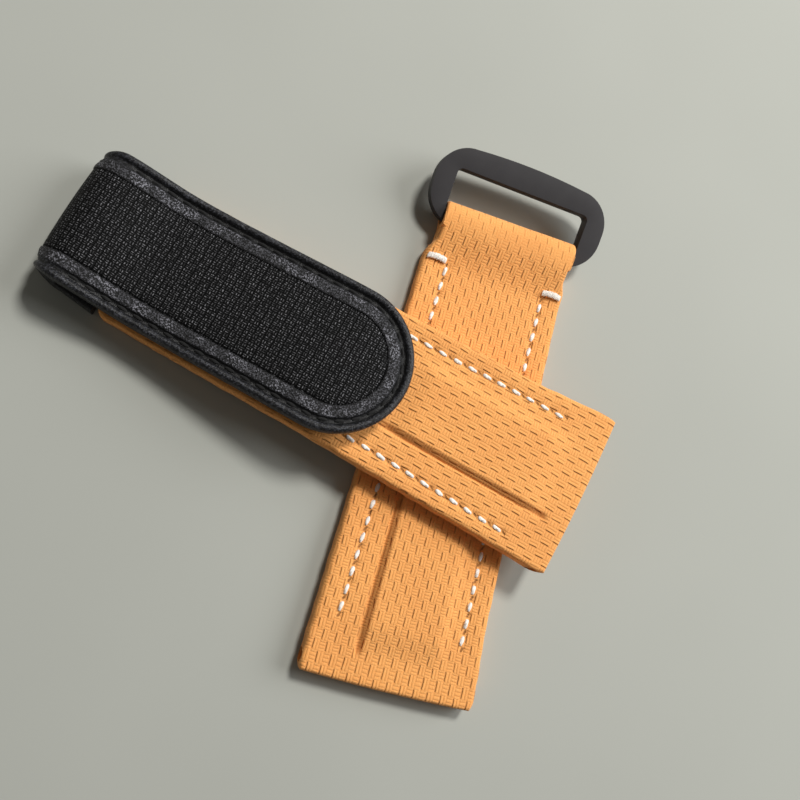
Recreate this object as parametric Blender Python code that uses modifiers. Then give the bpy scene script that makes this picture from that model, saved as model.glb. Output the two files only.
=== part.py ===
"""Hook and loop watch strap in two halves, lying crossed on a table.

The short half holds a ring in the loop sewn at its end. The long half lies
across it, and its tail is folded back over its own cloth, where a hook tape
meets a loop tape. Both halves are made flat and straight, layer by layer,
and then bent, tapered and padded by one function each, so that the layers
keep their places between each other.

Units are metres, +Z is up. The origin is on the table, under the middle of
the short half. In each half's own frame the lug end is at y = 0, the far
end is at +Y, and the wearer's skin is below z = 0.
"""
import math

import bmesh
import bpy
from mathutils import Matrix, Vector

for old in list(bpy.data.objects):
    bpy.data.objects.remove(old)

# The two halves, along their length
SHORT_LENGTH = 0.0658
LONG_LENGTH = 0.0688
LUG_WIDTH = 0.0240
RING_END_WIDTH = 0.0219
LOOP_WIDTH = 0.0202
LONG_END_WIDTH = 0.0188
LUG_THICKNESS = 0.0030
THINNED_LENGTH = 0.0450

# Where the long half lies across the short one
LONG_HALF_X = 0.0189
LONG_HALF_Y = 0.0315
LONG_HALF_TURN = 78.4
SEAT_GAP = 0.0002
RESTING_LENGTH = 0.0030

# Layers of the strap, from the skin side up
CLOTH = 0.00065
LINING = 0.00065
REINFORCEMENT = 0.0003
PADDING = 0.0004
LAYER_GAP = 0.0001
HEM_WIDTH = 0.0026
CLOTH_ROUND = 0.0006
HEM_ROUND = 0.0003
CORNER_ROUND = 0.0014

# Raised padding along the middle of both halves
PAD_WIDTH = 0.0100
PAD_SLOPE = 0.0005
PAD_END_SLOPE = 0.0045
PAD_RISE = 0.0006
PAD_START = 0.0033
PAD_LENGTH = 0.0265

# Channel for the watch's spring bar
BAR_CHANNEL_RADIUS = 0.0009

# Ring and the loop that holds it
RING_WIDTH = 0.0268
RING_REACH = 0.0101
RING_THICKNESS = 0.0023
RING_HELD_BAR = 0.0024
RING_FREE_BAR = 0.0032
RING_ARM = 0.0028
RING_CORNER = 0.0049
RING_INNER_CORNER = 0.0008
RING_BOW = 0.0004
RING_EDGE = 0.0005
RING_PLAY = 0.00012
RING_SHIFT = 0.00035
RING_TILT = 17.0
TURN_BACK = 0.0060
NECK_LENGTH = 0.0042

# Bar tacks beside the loop
TACK_LENGTH = 0.0030
TACK_WIDTH = 0.0009
TACK_HEIGHT = 0.0004
TACK_INSET = 0.0004
TACK_OFFSET = 0.0049

# Black tail: leather edge, nylon panel, stiffener and backing
TAIL_WIDTH = 0.0202
TAIL_FOLD_WIDTH = 0.0189
TAIL_LENGTH = 0.0489
TAIL_SKEW = 0.0006
FOLD_PUFF = 0.0006
PUFF_LENGTH = 0.0100
ROOT_LENGTH = 0.0049
ROOT_GAP = 0.0005
TONGUE_WIDTH = 0.0120
TONGUE_LENGTH = 0.0080
LEATHER = 0.00065
NYLON = 0.00045
STIFFENER = 0.0003
BACKING = 0.0005
EDGE_BAND = 0.0036
EDGE_WALL = 0.0014
EDGE_ROUND = 0.0004
BEAD_WIDTH = 0.0013
STITCH_INSET = 0.0016
GROOVE_WIDTH = 0.0005
GROOVE_DEPTH = 0.00035
BAND_DEPTH = 0.00008
PANEL_DEPTH = 0.00025
HINGE_GAP = 0.00015

# Hook and loop tapes
LOOP_TAPE = 0.0006
HOOK_TAPE = 0.0006
TAPE_GAP = 0.0001
LOOP_TAPE_WIDTH = 0.0150
LOOP_TAPE_INSET = 0.0038
LOOP_TAPE_LENGTH = 0.0310
HOOK_TAPE_WIDTH = 0.0130
HOOK_TAPE_INSET = 0.0055
HOOK_TAPE_LENGTH = 0.0220
TAPE_ROUND = 0.0015

# How finely the shapes are divided
OVERRUN = 0.0010
WELD = 0.000001
FOLD_LINKS = 3
LINK_STEPS = 6
TIP_STEPS = 18
DRAPE_STEPS = 10
PAD_STEPS = 3
NECK_STEPS = 8
PUFF_STEPS = 4
ROUND_STEPS = 3
HEM_STEPS = 2
BORE_STEPS = 28
CORNER_STEPS = 6
ALONG_SHARE = 0.9
ACROSS_SHARE = 0.1
BEVELLED_ANGLE = 50.0
SHARP_ANGLE = 40.0
FLAT_ANGLE = 1.0
BEAD_START_ANGLE = 30.0
QUARTER_TURN = 90.0
HALF_TURN = 180.0

# Sizes that follow from the ones above
CORE_Z = max(CLOTH, LINING) + LAYER_GAP
PADDING_Z = CORE_Z + REINFORCEMENT + LAYER_GAP
PADDING_TOP = PADDING_Z + PADDING
CAVITY_TOP = PADDING_TOP + LAYER_GAP
STRAP_THICKNESS = CAVITY_TOP + CLOTH
CHANNEL_Y = CLOTH + BAR_CHANNEL_RADIUS
CAVITY_START = CHANNEL_Y + BAR_CHANNEL_RADIUS + CLOTH
ROUND_CORNER_SHARE = math.sqrt(2.0) - 1.0
BORE_RADIUS = math.hypot(RING_HELD_BAR, RING_THICKNESS) / 2 - RING_EDGE * ROUND_CORNER_SHARE + RING_PLAY
LOOP_RADIUS = BORE_RADIUS + CLOTH
NECK_END = SHORT_LENGTH - LOOP_RADIUS
NECK_START = NECK_END - NECK_LENGTH
SHORT_CAVITY_END = NECK_END - TURN_BACK
LONG_CAVITY_END = LONG_LENGTH - CLOTH
LOOP_TAPE_START = LONG_LENGTH - LOOP_TAPE_INSET - LOOP_TAPE_LENGTH
PANEL_BOTTOM = LEATHER + LAYER_GAP + NYLON
STIFFENER_TOP = PANEL_BOTTOM + LAYER_GAP
STIFFENER_BOTTOM = STIFFENER_TOP + STIFFENER
BACKING_TOP = STIFFENER_BOTTOM + LAYER_GAP
TAIL_THICKNESS = BACKING_TOP + BACKING
LOOP_TAPE_TOP = STRAP_THICKNESS + LAYER_GAP + LOOP_TAPE
HOOK_TAPE_Z = LOOP_TAPE_TOP + TAPE_GAP
TAIL_UNDERSIDE = HOOK_TAPE_Z + HOOK_TAPE + LAYER_GAP
FOLD_RADIUS = (TAIL_UNDERSIDE + TAIL_THICKNESS) / 2 + FOLD_PUFF
ROOT_START = LONG_LENGTH + ROOT_GAP
FOLD_Y = ROOT_START + ROOT_LENGTH
TAIL_TIP_Y = FOLD_Y + FOLD_RADIUS - TAIL_LENGTH
TIP_CENTRE_Y = TAIL_TIP_Y + TAIL_WIDTH / 2
CROSSING_END = ((LONG_HALF_X + LUG_WIDTH / 2) / math.sin(math.radians(LONG_HALF_TURN))
                + LUG_WIDTH / 2 / math.tan(math.radians(LONG_HALF_TURN)))
DRAPE_END = LONG_LENGTH - RESTING_LENGTH


def ramp(value, start, stop):
    """Share of the way from start to stop, held at 0 and 1 outside."""
    return min(max((value - start) / (stop - start), 0.0), 1.0)


def eased(share):
    """A share that leaves 0 and reaches 1 without a corner."""
    return share * share * (3.0 - 2.0 * share)


def between(start, stop, share):
    """The value that lies at this share between two others."""
    return start + (stop - start) * share


def thickness_share(y):
    """How much thicker the strap is here than at its far end."""
    return between(LUG_THICKNESS, STRAP_THICKNESS, ramp(y, 0.0, THINNED_LENGTH)) / STRAP_THICKNESS


def pad_rise(x, y):
    """Height of the raised padding at one point of the flat strap."""
    side = 1.0 - ramp(abs(x), PAD_WIDTH / 2, PAD_WIDTH / 2 + PAD_SLOPE)
    near = ramp(y, PAD_START, PAD_START + PAD_END_SLOPE)
    far = 1.0 - ramp(y, PAD_START + PAD_LENGTH - PAD_END_SLOPE, PAD_START + PAD_LENGTH)
    return PAD_RISE * eased(side) * eased(min(near, far))


LIFT = (STRAP_THICKNESS * thickness_share(LONG_HALF_Y - LUG_WIDTH / 2)
        + PAD_RISE + SEAT_GAP)


def drape(y):
    """Height of the long half's underside, from over the short half down to the table."""
    return LIFT * (1.0 - eased(ramp(y, CROSSING_END, DRAPE_END)))


def bend_strap(point):
    """Thicken and pad one point of a flat strap."""
    x, y, z = point
    padded = pad_rise(x, y) * ramp(z, PADDING_Z, PADDING_TOP)
    return Vector((x, y, z * thickness_share(y) + padded))


def neck_height(y):
    """Height of the cloth where it rises to the top of the loop."""
    return between(STRAP_THICKNESS, 2 * LOOP_RADIUS, eased(ramp(y, SHORT_CAVITY_END, SHORT_LENGTH)))


def neck_rise(y, z):
    """How far the rising neck lifts one point of the flat strap or of the roll."""
    if y <= NECK_END + WELD:
        return (neck_height(y) - STRAP_THICKNESS) * ramp(z, CAVITY_TOP, STRAP_THICKNESS)
    outside = math.hypot(y - SHORT_LENGTH, z - LOOP_RADIUS) > (BORE_RADIUS + LOOP_RADIUS) / 2
    if outside and y < SHORT_LENGTH and z > LOOP_RADIUS:
        return max(neck_height(y) - z, 0.0)
    return 0.0


def bend_short(point):
    """Bend, pad and taper one point of the flat short half."""
    x, y, z = bend_strap(point)
    z += neck_rise(point[1], point[2])
    width = between(LUG_WIDTH, RING_END_WIDTH, ramp(y, 0.0, NECK_START))
    width = between(width, LOOP_WIDTH, eased(ramp(y, NECK_START, NECK_END)))
    return Vector((x * width / LUG_WIDTH, y, z))


def bend_long(point):
    """Bend, pad, taper and drape one point of the flat long half."""
    x, y, z = bend_strap(point)
    width = between(LUG_WIDTH, LONG_END_WIDTH, ramp(y, 0.0, LONG_LENGTH))
    return Vector((x * width / LUG_WIDTH, y, z + drape(y)))


def bend_tail(point, skew_start=TIP_CENTRE_Y):
    """Taper one point of the flat tail, slant it and lay it on the long half."""
    x, y, z = point
    width = between(TAIL_WIDTH, TAIL_FOLD_WIDTH, ramp(y, TIP_CENTRE_Y, FOLD_Y))
    slant = TAIL_SKEW * ramp(y, skew_start, FOLD_Y)
    rise = drape(y) + (thickness_share(y) - 1.0) * HOOK_TAPE_Z
    return Vector((x * width / TAIL_WIDTH + slant, y, z + rise))


def bend_root(point):
    """Bend one point of the root, which starts in line with the long half."""
    return bend_tail(point, ROOT_START)


def bend_lid(point):
    """Bend one point of the layers that come down from the full fold to the tapes."""
    x, y, z = bend_tail(point)
    return Vector((x, y, z - 2 * FOLD_PUFF * eased(ramp(FOLD_Y - y, 0.0, PUFF_LENGTH))))


def bend_tongue(point):
    """Step the tongue from its place in the strap to its place in the tail's root."""
    x, y, z = point
    step = (STIFFENER_TOP - PADDING_Z) * ramp(y, LONG_LENGTH, ROOT_START)
    width = between(LUG_WIDTH, LONG_END_WIDTH, ramp(y, 0.0, LONG_LENGTH))
    return Vector((x * width / LUG_WIDTH, y, z * thickness_share(y) + step + drape(y)))


SLOPE_SHARES = [step / PAD_STEPS for step in range(PAD_STEPS + 1)]
PAD_LINES = [side * (PAD_WIDTH / 2 + PAD_SLOPE * share) for side in (-1, 1) for share in SLOPE_SHARES]
PAD_STATIONS = [start + PAD_END_SLOPE * share
                for start in (PAD_START, PAD_START + PAD_LENGTH - PAD_END_SLOPE)
                for share in SLOPE_SHARES] + [THINNED_LENGTH]
NECK_STATIONS = [NECK_START, NECK_END] + [between(SHORT_CAVITY_END, SHORT_LENGTH, step / NECK_STEPS)
                                          for step in range(NECK_STEPS)]
PUFF_STATIONS = [FOLD_Y - PUFF_LENGTH * step / PUFF_STEPS for step in range(1, PUFF_STEPS + 1)]
DRAPE_STATIONS = [between(CROSSING_END, DRAPE_END, step / DRAPE_STEPS)
                  for step in range(DRAPE_STEPS + 1)]
SHORT_STATIONS = PAD_STATIONS + NECK_STATIONS
LONG_STATIONS = PAD_STATIONS + DRAPE_STATIONS
TAIL_STATIONS = [THINNED_LENGTH] + DRAPE_STATIONS
LID_STATIONS = TAIL_STATIONS + PUFF_STATIONS


def new_collection(name):
    """A collection of this name in the scene."""
    collection = bpy.data.collections.new(name)
    bpy.context.scene.collection.children.link(collection)
    return collection


def to_object(name, bm, collection):
    """Write a bmesh into a new object with its faces pointing out."""
    bmesh.ops.recalc_face_normals(bm, faces=bm.faces)
    mesh = bpy.data.meshes.new(name)
    bm.to_mesh(mesh)
    bm.free()
    obj = bpy.data.objects.new(name, mesh)
    collection.objects.link(obj)
    return obj


def box(low, high):
    """A bmesh box between two corners."""
    bm = bmesh.new()
    size = Vector(high) - Vector(low)
    middle = (Vector(high) + Vector(low)) / 2
    bmesh.ops.create_cube(bm, size=1.0, matrix=Matrix.Translation(middle) @ Matrix.Diagonal(size).to_4x4())
    return bm


def round_edges(bm, radius, wanted, segments=ROUND_STEPS):
    """Round the edges whose middle and direction pass the test."""
    edges = [edge for edge in bm.edges
             if wanted((edge.verts[0].co + edge.verts[1].co) / 2,
                       (edge.verts[0].co - edge.verts[1].co).normalized())]
    bmesh.ops.bevel(bm, geom=edges, offset=radius, offset_type="OFFSET", segments=segments,
                    profile=0.5, affect="EDGES", clamp_overlap=True)


def drum(radius, length, y, z, squash=1.0):
    """A bmesh cylinder along X, centred at y and z."""
    bm = bmesh.new()
    place = (Matrix.Translation((0.0, y, z)) @ Matrix.Diagonal((1.0, 1.0, squash, 1.0))
             @ Matrix.Rotation(math.radians(QUARTER_TURN), 4, "Y"))
    bmesh.ops.create_cone(bm, cap_ends=True, segments=BORE_STEPS, radius1=radius, radius2=radius,
                          depth=length, matrix=place)
    return bm


def as_cutter(name, bm):
    """An object that only cuts: hidden from renders and shown as wire."""
    obj = to_object(name, bm, CUTTERS)
    obj.hide_render = True
    obj.display_type = "WIRE"
    return obj


def carve(obj, tools, operation="DIFFERENCE"):
    """Cut or join an object with other objects, and keep the result as its mesh."""
    for tool in tools:
        modifier = obj.modifiers.new(tool.name, "BOOLEAN")
        modifier.operation = operation
        modifier.solver = "EXACT"
        modifier.object = tool
    evaluated = obj.evaluated_get(bpy.context.evaluated_depsgraph_get())
    mesh = bpy.data.meshes.new_from_object(evaluated)
    obj.modifiers.clear()
    obj.data = mesh
    return obj


def bend(obj, move, stations=(), lines=()):
    """Divide a flat piece across and along, then move its points by a function."""
    bm = bmesh.new()
    bm.from_mesh(obj.data)
    bmesh.ops.remove_doubles(bm, verts=bm.verts, dist=WELD)
    cuts = [((0.0, y, 0.0), (0.0, 1.0, 0.0)) for y in stations]
    cuts += [((x, 0.0, 0.0), (1.0, 0.0, 0.0)) for x in lines]
    for point, normal in cuts:
        bmesh.ops.bisect_plane(bm, geom=[*bm.verts, *bm.edges, *bm.faces], dist=WELD,
                               plane_co=point, plane_no=normal)
    bmesh.ops.triangulate(bm, faces=bm.faces)
    for vert in bm.verts:
        vert.co = move(vert.co)
    bm.to_mesh(obj.data)
    bm.free()
    return obj


def frame(name, location, parent=None, turn=0.0):
    """An empty that carries other pieces."""
    empty = bpy.data.objects.new(name, None)
    PARTS.objects.link(empty)
    empty.location = location
    empty.rotation_euler = (0.0, 0.0, math.radians(turn))
    empty.parent = parent
    return empty


def carry(obj, parent, pivot=(0.0, 0.0, 0.0)):
    """Hang a piece on an empty that stands at a pivot of the piece's own frame."""
    obj.data.transform(Matrix.Translation(-Vector(pivot)))
    obj.parent = parent
    return obj


def dress(obj, colour, roughness, metallic=0.0):
    """Give a piece its own material."""
    material = bpy.data.materials.new(obj.name)
    material.use_nodes = True
    shader = material.node_tree.nodes["Principled BSDF"]
    shader.inputs["Base Color"].default_value = (*colour, 1.0)
    shader.inputs["Roughness"].default_value = roughness
    shader.inputs["Metallic"].default_value = metallic
    obj.data.materials.clear()
    obj.data.materials.append(material)
    return obj


ORANGE_CLOTH = ((0.80, 0.36, 0.11), 0.75)
BLACK_LEATHER = ((0.022, 0.022, 0.024), 0.55)
BLACK_NYLON = ((0.016, 0.016, 0.017), 0.65)
BLACK_TAPE = ((0.010, 0.010, 0.011), 0.95)
BLACK_LINING = ((0.030, 0.028, 0.027), 0.80)
GREY_FOAM = ((0.25, 0.25, 0.26), 0.90)
PALE_TAPE = ((0.55, 0.53, 0.50), 0.80)
WHITE_THREAD = ((0.82, 0.80, 0.76), 0.60)
BLACK_METAL = ((0.060, 0.059, 0.060), 0.50, 0.8)


def flat_strip(name, width, start, stop, low, high):
    """A flat layer of the strap, centred on its middle line."""
    return to_object(name, box((-width / 2, start, low), (width / 2, stop, high)), PARTS)


def cloth_blank(name, length, far_end_shows):
    """The cloth's outer form: a flat slab with turned, rounded edges."""
    half = LUG_WIDTH / 2
    bm = box((-half, 0.0, 0.0), (half, length, STRAP_THICKNESS))

    def corner(middle, along):
        return abs(along.z) > ALONG_SHARE and middle.y > length / 2

    def top_edge(middle, along):
        far_side = middle.y > length - WELD
        across = abs(along.x) > ALONG_SHARE and far_side and not far_end_shows
        return middle.z > STRAP_THICKNESS - WELD and not across

    def hem_edge(middle, along):
        far_side = middle.y > length - WELD
        across = abs(along.x) > ALONG_SHARE and far_side and not far_end_shows
        return middle.z < WELD and abs(along.z) < ACROSS_SHARE and not across

    if far_end_shows:
        round_edges(bm, CORNER_ROUND, corner)
    round_edges(bm, CLOTH_ROUND, top_edge)
    round_edges(bm, HEM_ROUND, hem_edge, HEM_STEPS)
    return to_object(name, bm, PARTS)


def hollow_cloth(name, blank, cavity_end, lining_end):
    """Cut the room for the layers, the lining's opening and the spring bar's channel."""
    inner = LUG_WIDTH / 2 - CLOTH
    opening = LUG_WIDTH / 2 - HEM_WIDTH
    room = as_cutter(name + "_room", box((-inner, CAVITY_START, CLOTH), (inner, cavity_end, CAVITY_TOP)))
    window = as_cutter(name + "_window", box((-opening, CAVITY_START, -OVERRUN),
                                             (opening, lining_end, (CLOTH + CAVITY_TOP) / 2)))
    channel_z = STRAP_THICKNESS / 2
    channel = as_cutter(name + "_channel", drum(BAR_CHANNEL_RADIUS, LUG_WIDTH + OVERRUN, CHANNEL_Y,
                                                channel_z, 1.0 / thickness_share(CHANNEL_Y)))
    return carve(blank, [room, window, channel])


def strap_layers(prefix, cavity_end, padding_end, lining_end, move, stations, carrier):
    """Lining, reinforcement and padding, which fill the cloth from below."""
    inner = LUG_WIDTH - 2 * (CLOTH + LAYER_GAP)
    opening = LUG_WIDTH - 2 * (HEM_WIDTH + LAYER_GAP)
    start = CAVITY_START + LAYER_GAP
    layers = [
        ("lining", opening, lining_end - LAYER_GAP, 0.0, LINING, BLACK_LINING),
        ("reinforcement", inner, cavity_end - LAYER_GAP, CORE_Z, CORE_Z + REINFORCEMENT, PALE_TAPE),
        ("padding", inner, padding_end - LAYER_GAP, PADDING_Z, PADDING_TOP, GREY_FOAM),
    ]
    for name, width, stop, low, high, finish in layers:
        layer = flat_strip(prefix + name, width, start, stop, low, high)
        dress(bend(layer, move, stations, PAD_LINES), *finish)
        carry(layer, carrier)


def build_short_half(carrier):
    """The short half: cloth with its ring loop, its layers and two bar tacks."""
    blank = cloth_blank("short_outer_cloth", SHORT_LENGTH, far_end_shows=False)
    roll = drum(LOOP_RADIUS, LUG_WIDTH, SHORT_LENGTH, LOOP_RADIUS)
    round_edges(roll, HEM_ROUND, lambda middle, along: abs(middle.x) > LUG_WIDTH / 2 - WELD, HEM_STEPS)
    carve(blank, [as_cutter("loop_roll", roll)], "UNION")
    hollow_cloth("short_cloth", blank, SHORT_CAVITY_END, SHORT_CAVITY_END)
    bore = drum(BORE_RADIUS, LUG_WIDTH + OVERRUN, SHORT_LENGTH, LOOP_RADIUS)
    carve(blank, [as_cutter("loop_bore", bore)])
    dress(bend(blank, bend_short, SHORT_STATIONS, PAD_LINES), *ORANGE_CLOTH)
    carry(blank, carrier)
    strap_layers("short_", SHORT_CAVITY_END, SHORT_CAVITY_END, SHORT_CAVITY_END,
                 bend_short, SHORT_STATIONS, carrier)
    for side, name in ((-1, "bar_tack_left"), (1, "bar_tack_right")):
        outer = side * (LUG_WIDTH / 2 - TACK_INSET)
        inner = outer - side * TACK_LENGTH
        y = NECK_END - TACK_OFFSET
        low = STRAP_THICKNESS + LAYER_GAP
        bm = box((min(inner, outer), y - TACK_WIDTH / 2, low),
                 (max(inner, outer), y + TACK_WIDTH / 2, low + TACK_HEIGHT))
        round_edges(bm, TACK_HEIGHT / 2, lambda middle, along, top=low + TACK_HEIGHT: middle.z > top - WELD)
        tack = to_object(name, bm, PARTS)
        dress(bend(tack, bend_short, NECK_STATIONS), *WHITE_THREAD)
        carry(tack, carrier)


def rounded_loop(low, high, far_radius, near_radius, bow=0.0):
    """Corners of a rounded rectangle, counter-clockwise, whose far side may bow out."""
    centres = [(high[0] - near_radius, low[1] + near_radius, near_radius, -QUARTER_TURN),
               (high[0] - far_radius, high[1] - far_radius, far_radius, 0.0),
               (low[0] + far_radius, high[1] - far_radius, far_radius, QUARTER_TURN),
               (low[0] + near_radius, low[1] + near_radius, near_radius, HALF_TURN)]
    points = []
    for x, y, radius, start in centres:
        steps = CORNER_STEPS if radius > 0.0 else 0
        for step in range(steps + 1):
            angle = math.radians(start + QUARTER_TURN * step / CORNER_STEPS)
            points.append((x + radius * math.cos(angle), y + radius * math.sin(angle)))
        if start == 0.0:
            middle = (high[0] + low[0]) / 2
            half = (high[0] - low[0]) / 2 - far_radius
            shares = [between(1.0, -1.0, step / CORNER_STEPS) for step in range(1, CORNER_STEPS)]
            points += [(middle + half * share, high[1] + bow * (1.0 - share ** 2)) for share in shares]
    return points


def build_ring(carrier):
    """The flat metal ring, whose held bar turns in the loop."""
    half = RING_WIDTH / 2
    inner = half - RING_ARM
    outline = rounded_loop((-half, -RING_HELD_BAR / 2), (half, RING_REACH), RING_CORNER, RING_CORNER,
                           RING_BOW)
    hole = rounded_loop((-inner, RING_HELD_BAR / 2), (inner, RING_REACH - RING_FREE_BAR),
                        RING_INNER_CORNER, 0.0)
    curve = bpy.data.curves.new("ring", "CURVE")
    curve.dimensions = "2D"
    curve.fill_mode = "BOTH"
    curve.extrude = RING_THICKNESS / 2
    for points in (outline, hole):
        spline = curve.splines.new("POLY")
        spline.points.add(len(points) - 1)
        for target, (x, y) in zip(spline.points, points):
            target.co = (x + RING_SHIFT, y, 0.0, 1.0)
        spline.use_cyclic_u = True
    flat = bpy.data.objects.new("ring_outline", curve)
    PARTS.objects.link(flat)
    evaluated = flat.evaluated_get(bpy.context.evaluated_depsgraph_get())
    mesh = bpy.data.meshes.new_from_object(evaluated)
    bpy.data.objects.remove(flat)
    bm = bmesh.new()
    bm.from_mesh(mesh)
    bmesh.ops.remove_doubles(bm, verts=bm.verts, dist=WELD)
    bmesh.ops.dissolve_limit(bm, angle_limit=math.radians(FLAT_ANGLE), verts=bm.verts, edges=bm.edges)
    ring = to_object("ring", bm, PARTS)
    edge = ring.modifiers.new("edge", "BEVEL")
    edge.width = RING_EDGE
    edge.segments = ROUND_STEPS
    edge.use_clamp_overlap = False
    edge.limit_method = "ANGLE"
    edge.angle_limit = math.radians(BEVELLED_ANGLE)
    dress(ring, *BLACK_METAL)
    ring.data.set_sharp_from_angle(angle=math.radians(SHARP_ANGLE))
    ring.rotation_euler = (math.radians(RING_TILT), 0.0, 0.0)
    ring.parent = carrier


def build_long_half(carrier):
    """The long half: cloth, layers, the loop tape on top and the tongue of the tail."""
    blank = cloth_blank("long_outer_cloth", LONG_LENGTH, far_end_shows=True)
    hollow_cloth("long_cloth", blank, LONG_CAVITY_END, LONG_LENGTH - HEM_WIDTH)
    slot_half = TONGUE_WIDTH / 2 + LAYER_GAP
    slot = box((-slot_half, LONG_CAVITY_END - OVERRUN, PADDING_Z - LAYER_GAP / 2),
               (slot_half, LONG_LENGTH + OVERRUN, CAVITY_TOP))
    carve(blank, [as_cutter("tongue_slot", slot)])
    dress(bend(blank, bend_long, LONG_STATIONS, PAD_LINES), *ORANGE_CLOTH)
    carry(blank, carrier)
    strap_layers("long_", LONG_CAVITY_END, LONG_LENGTH - TONGUE_LENGTH, LONG_LENGTH - HEM_WIDTH,
                 bend_long, LONG_STATIONS, carrier)

    tongue = flat_strip("tail_tongue", TONGUE_WIDTH, LONG_LENGTH - TONGUE_LENGTH + LAYER_GAP, FOLD_Y,
                        PADDING_Z, PADDING_Z + STIFFENER)
    dress(bend(tongue, bend_tongue, DRAPE_STATIONS + [LONG_LENGTH, ROOT_START]), *PALE_TAPE)
    carry(tongue, carrier)

    low = STRAP_THICKNESS + LAYER_GAP
    bm = box((-LOOP_TAPE_WIDTH / 2, LOOP_TAPE_START, low),
             (LOOP_TAPE_WIDTH / 2, LOOP_TAPE_START + LOOP_TAPE_LENGTH, low + LOOP_TAPE))
    round_edges(bm, TAPE_ROUND, lambda middle, along: abs(along.z) > ALONG_SHARE)
    tape = to_object("loop_tape", bm, PARTS)
    dress(bend(tape, bend_long, LONG_STATIONS), *BLACK_TAPE)
    carry(tape, carrier)


def edge_profile():
    """Leather edge in section, as inset from the tail's edge and depth from its outer face."""
    bead = BEAD_WIDTH / 2
    turns = [math.radians(between(BEAD_START_ANGLE, HALF_TURN, step / CORNER_STEPS))
             for step in range(CORNER_STEPS + 1)]
    rolled = [(bead + bead * math.cos(turn), bead - bead * math.sin(turn)) for turn in turns]
    return [
        (EDGE_WALL, LEATHER),
        (EDGE_BAND, LEATHER),
        (EDGE_BAND, BAND_DEPTH),
        (STITCH_INSET + GROOVE_WIDTH / 2, BAND_DEPTH),
        (STITCH_INSET, GROOVE_DEPTH),
        *rolled,
        (0.0, TAIL_THICKNESS - EDGE_ROUND),
        (EDGE_ROUND, TAIL_THICKNESS),
        (EDGE_WALL, TAIL_THICKNESS),
    ]


def panel_profile():
    """Right half of the nylon panel in section: its face stands up inside the leather edge."""
    flange = TAIL_WIDTH / 2 - EDGE_WALL - LAYER_GAP
    face = TAIL_WIDTH / 2 - EDGE_BAND - LAYER_GAP
    return [(0.0, PANEL_DEPTH), (face, PANEL_DEPTH), (face, LEATHER + LAYER_GAP),
            (flange, LEATHER + LAYER_GAP), (flange, PANEL_BOTTOM), (0.0, PANEL_BOTTOM)]


def layer_profile(top, bottom, width=TAIL_WIDTH - 2 * (EDGE_WALL + LAYER_GAP)):
    """Right half of a flat layer in section."""
    return [(0.0, top), (width / 2, top), (width / 2, bottom), (0.0, bottom)]


def mirrored(half_profile):
    """The whole section of a layer from its right half."""
    return half_profile + [(-x, depth) for x, depth in reversed(half_profile) if x > 0.0]


def edge_section(side):
    """The leather edge in section, as x and depth, on one side of the tail."""
    return [(side * (TAIL_WIDTH / 2 - inset), depth) for inset, depth in edge_profile()]


def closed_loop(bm, points):
    """Vertices and edges of a closed section."""
    verts = [bm.verts.new(point) for point in points]
    edges = [bm.edges.new((verts[i], verts[(i + 1) % len(verts)])) for i in range(len(verts))]
    return verts, edges


def open_line(bm, points):
    """Vertices and edges of a section that ends on the turning axis."""
    verts = [bm.verts.new(point) for point in points]
    edges = [bm.edges.new(pair) for pair in zip(verts, verts[1:])]
    return verts, edges


def cap_ends(bm):
    """Close what is still open with flat faces."""
    bmesh.ops.holes_fill(bm, edges=[edge for edge in bm.edges if edge.is_boundary], sides=0)


def root_piece(name, section, finish, carrier):
    """A layer of the tail's root: a section drawn along the table to the fold."""
    bm = bmesh.new()
    verts, edges = closed_loop(bm, [(x, ROOT_START, depth) for x, depth in section])
    grown = bmesh.ops.extrude_edge_only(bm, edges=edges)["geom"]
    moved = [item for item in grown if isinstance(item, bmesh.types.BMVert)]
    bmesh.ops.translate(bm, verts=moved, vec=(0.0, ROOT_LENGTH - HINGE_GAP / 2, 0.0))
    cap_ends(bm)
    piece = to_object(name, bm, PARTS)
    dress(bend(piece, bend_root), *finish)
    return carry(piece, carrier)


def on_fold(angle, depth=0.0):
    """Point of the fold, by the angle turned from the table and the depth from the skin."""
    reach = FOLD_RADIUS - depth
    return FOLD_Y + reach * math.sin(angle), FOLD_RADIUS - reach * math.cos(angle)


LINK_TURN = math.radians(HALF_TURN) / FOLD_LINKS
HINGES = [(0.0, *on_fold(LINK_TURN * index)) for index in range(FOLD_LINKS + 1)]


def link_piece(name, index, section, finish, carrier):
    """A layer of one link of the fold: a section turned about the fold's middle."""
    gap = HINGE_GAP / FOLD_RADIUS
    start = LINK_TURN * (index - 1) + gap / 2
    bm = bmesh.new()
    points = [(x, *on_fold(start, depth)) for x, depth in section]
    verts, edges = closed_loop(bm, points)
    bmesh.ops.spin(bm, geom=verts + edges, cent=(0.0, FOLD_Y, FOLD_RADIUS), axis=(1.0, 0.0, 0.0),
                   angle=LINK_TURN - gap, steps=LINK_STEPS, use_merge=False, use_duplicate=False)
    cap_ends(bm)
    piece = to_object(name, bm, PARTS)
    dress(bend(piece, bend_tail), *finish)
    return carry(piece, carrier, HINGES[index - 1])


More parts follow.
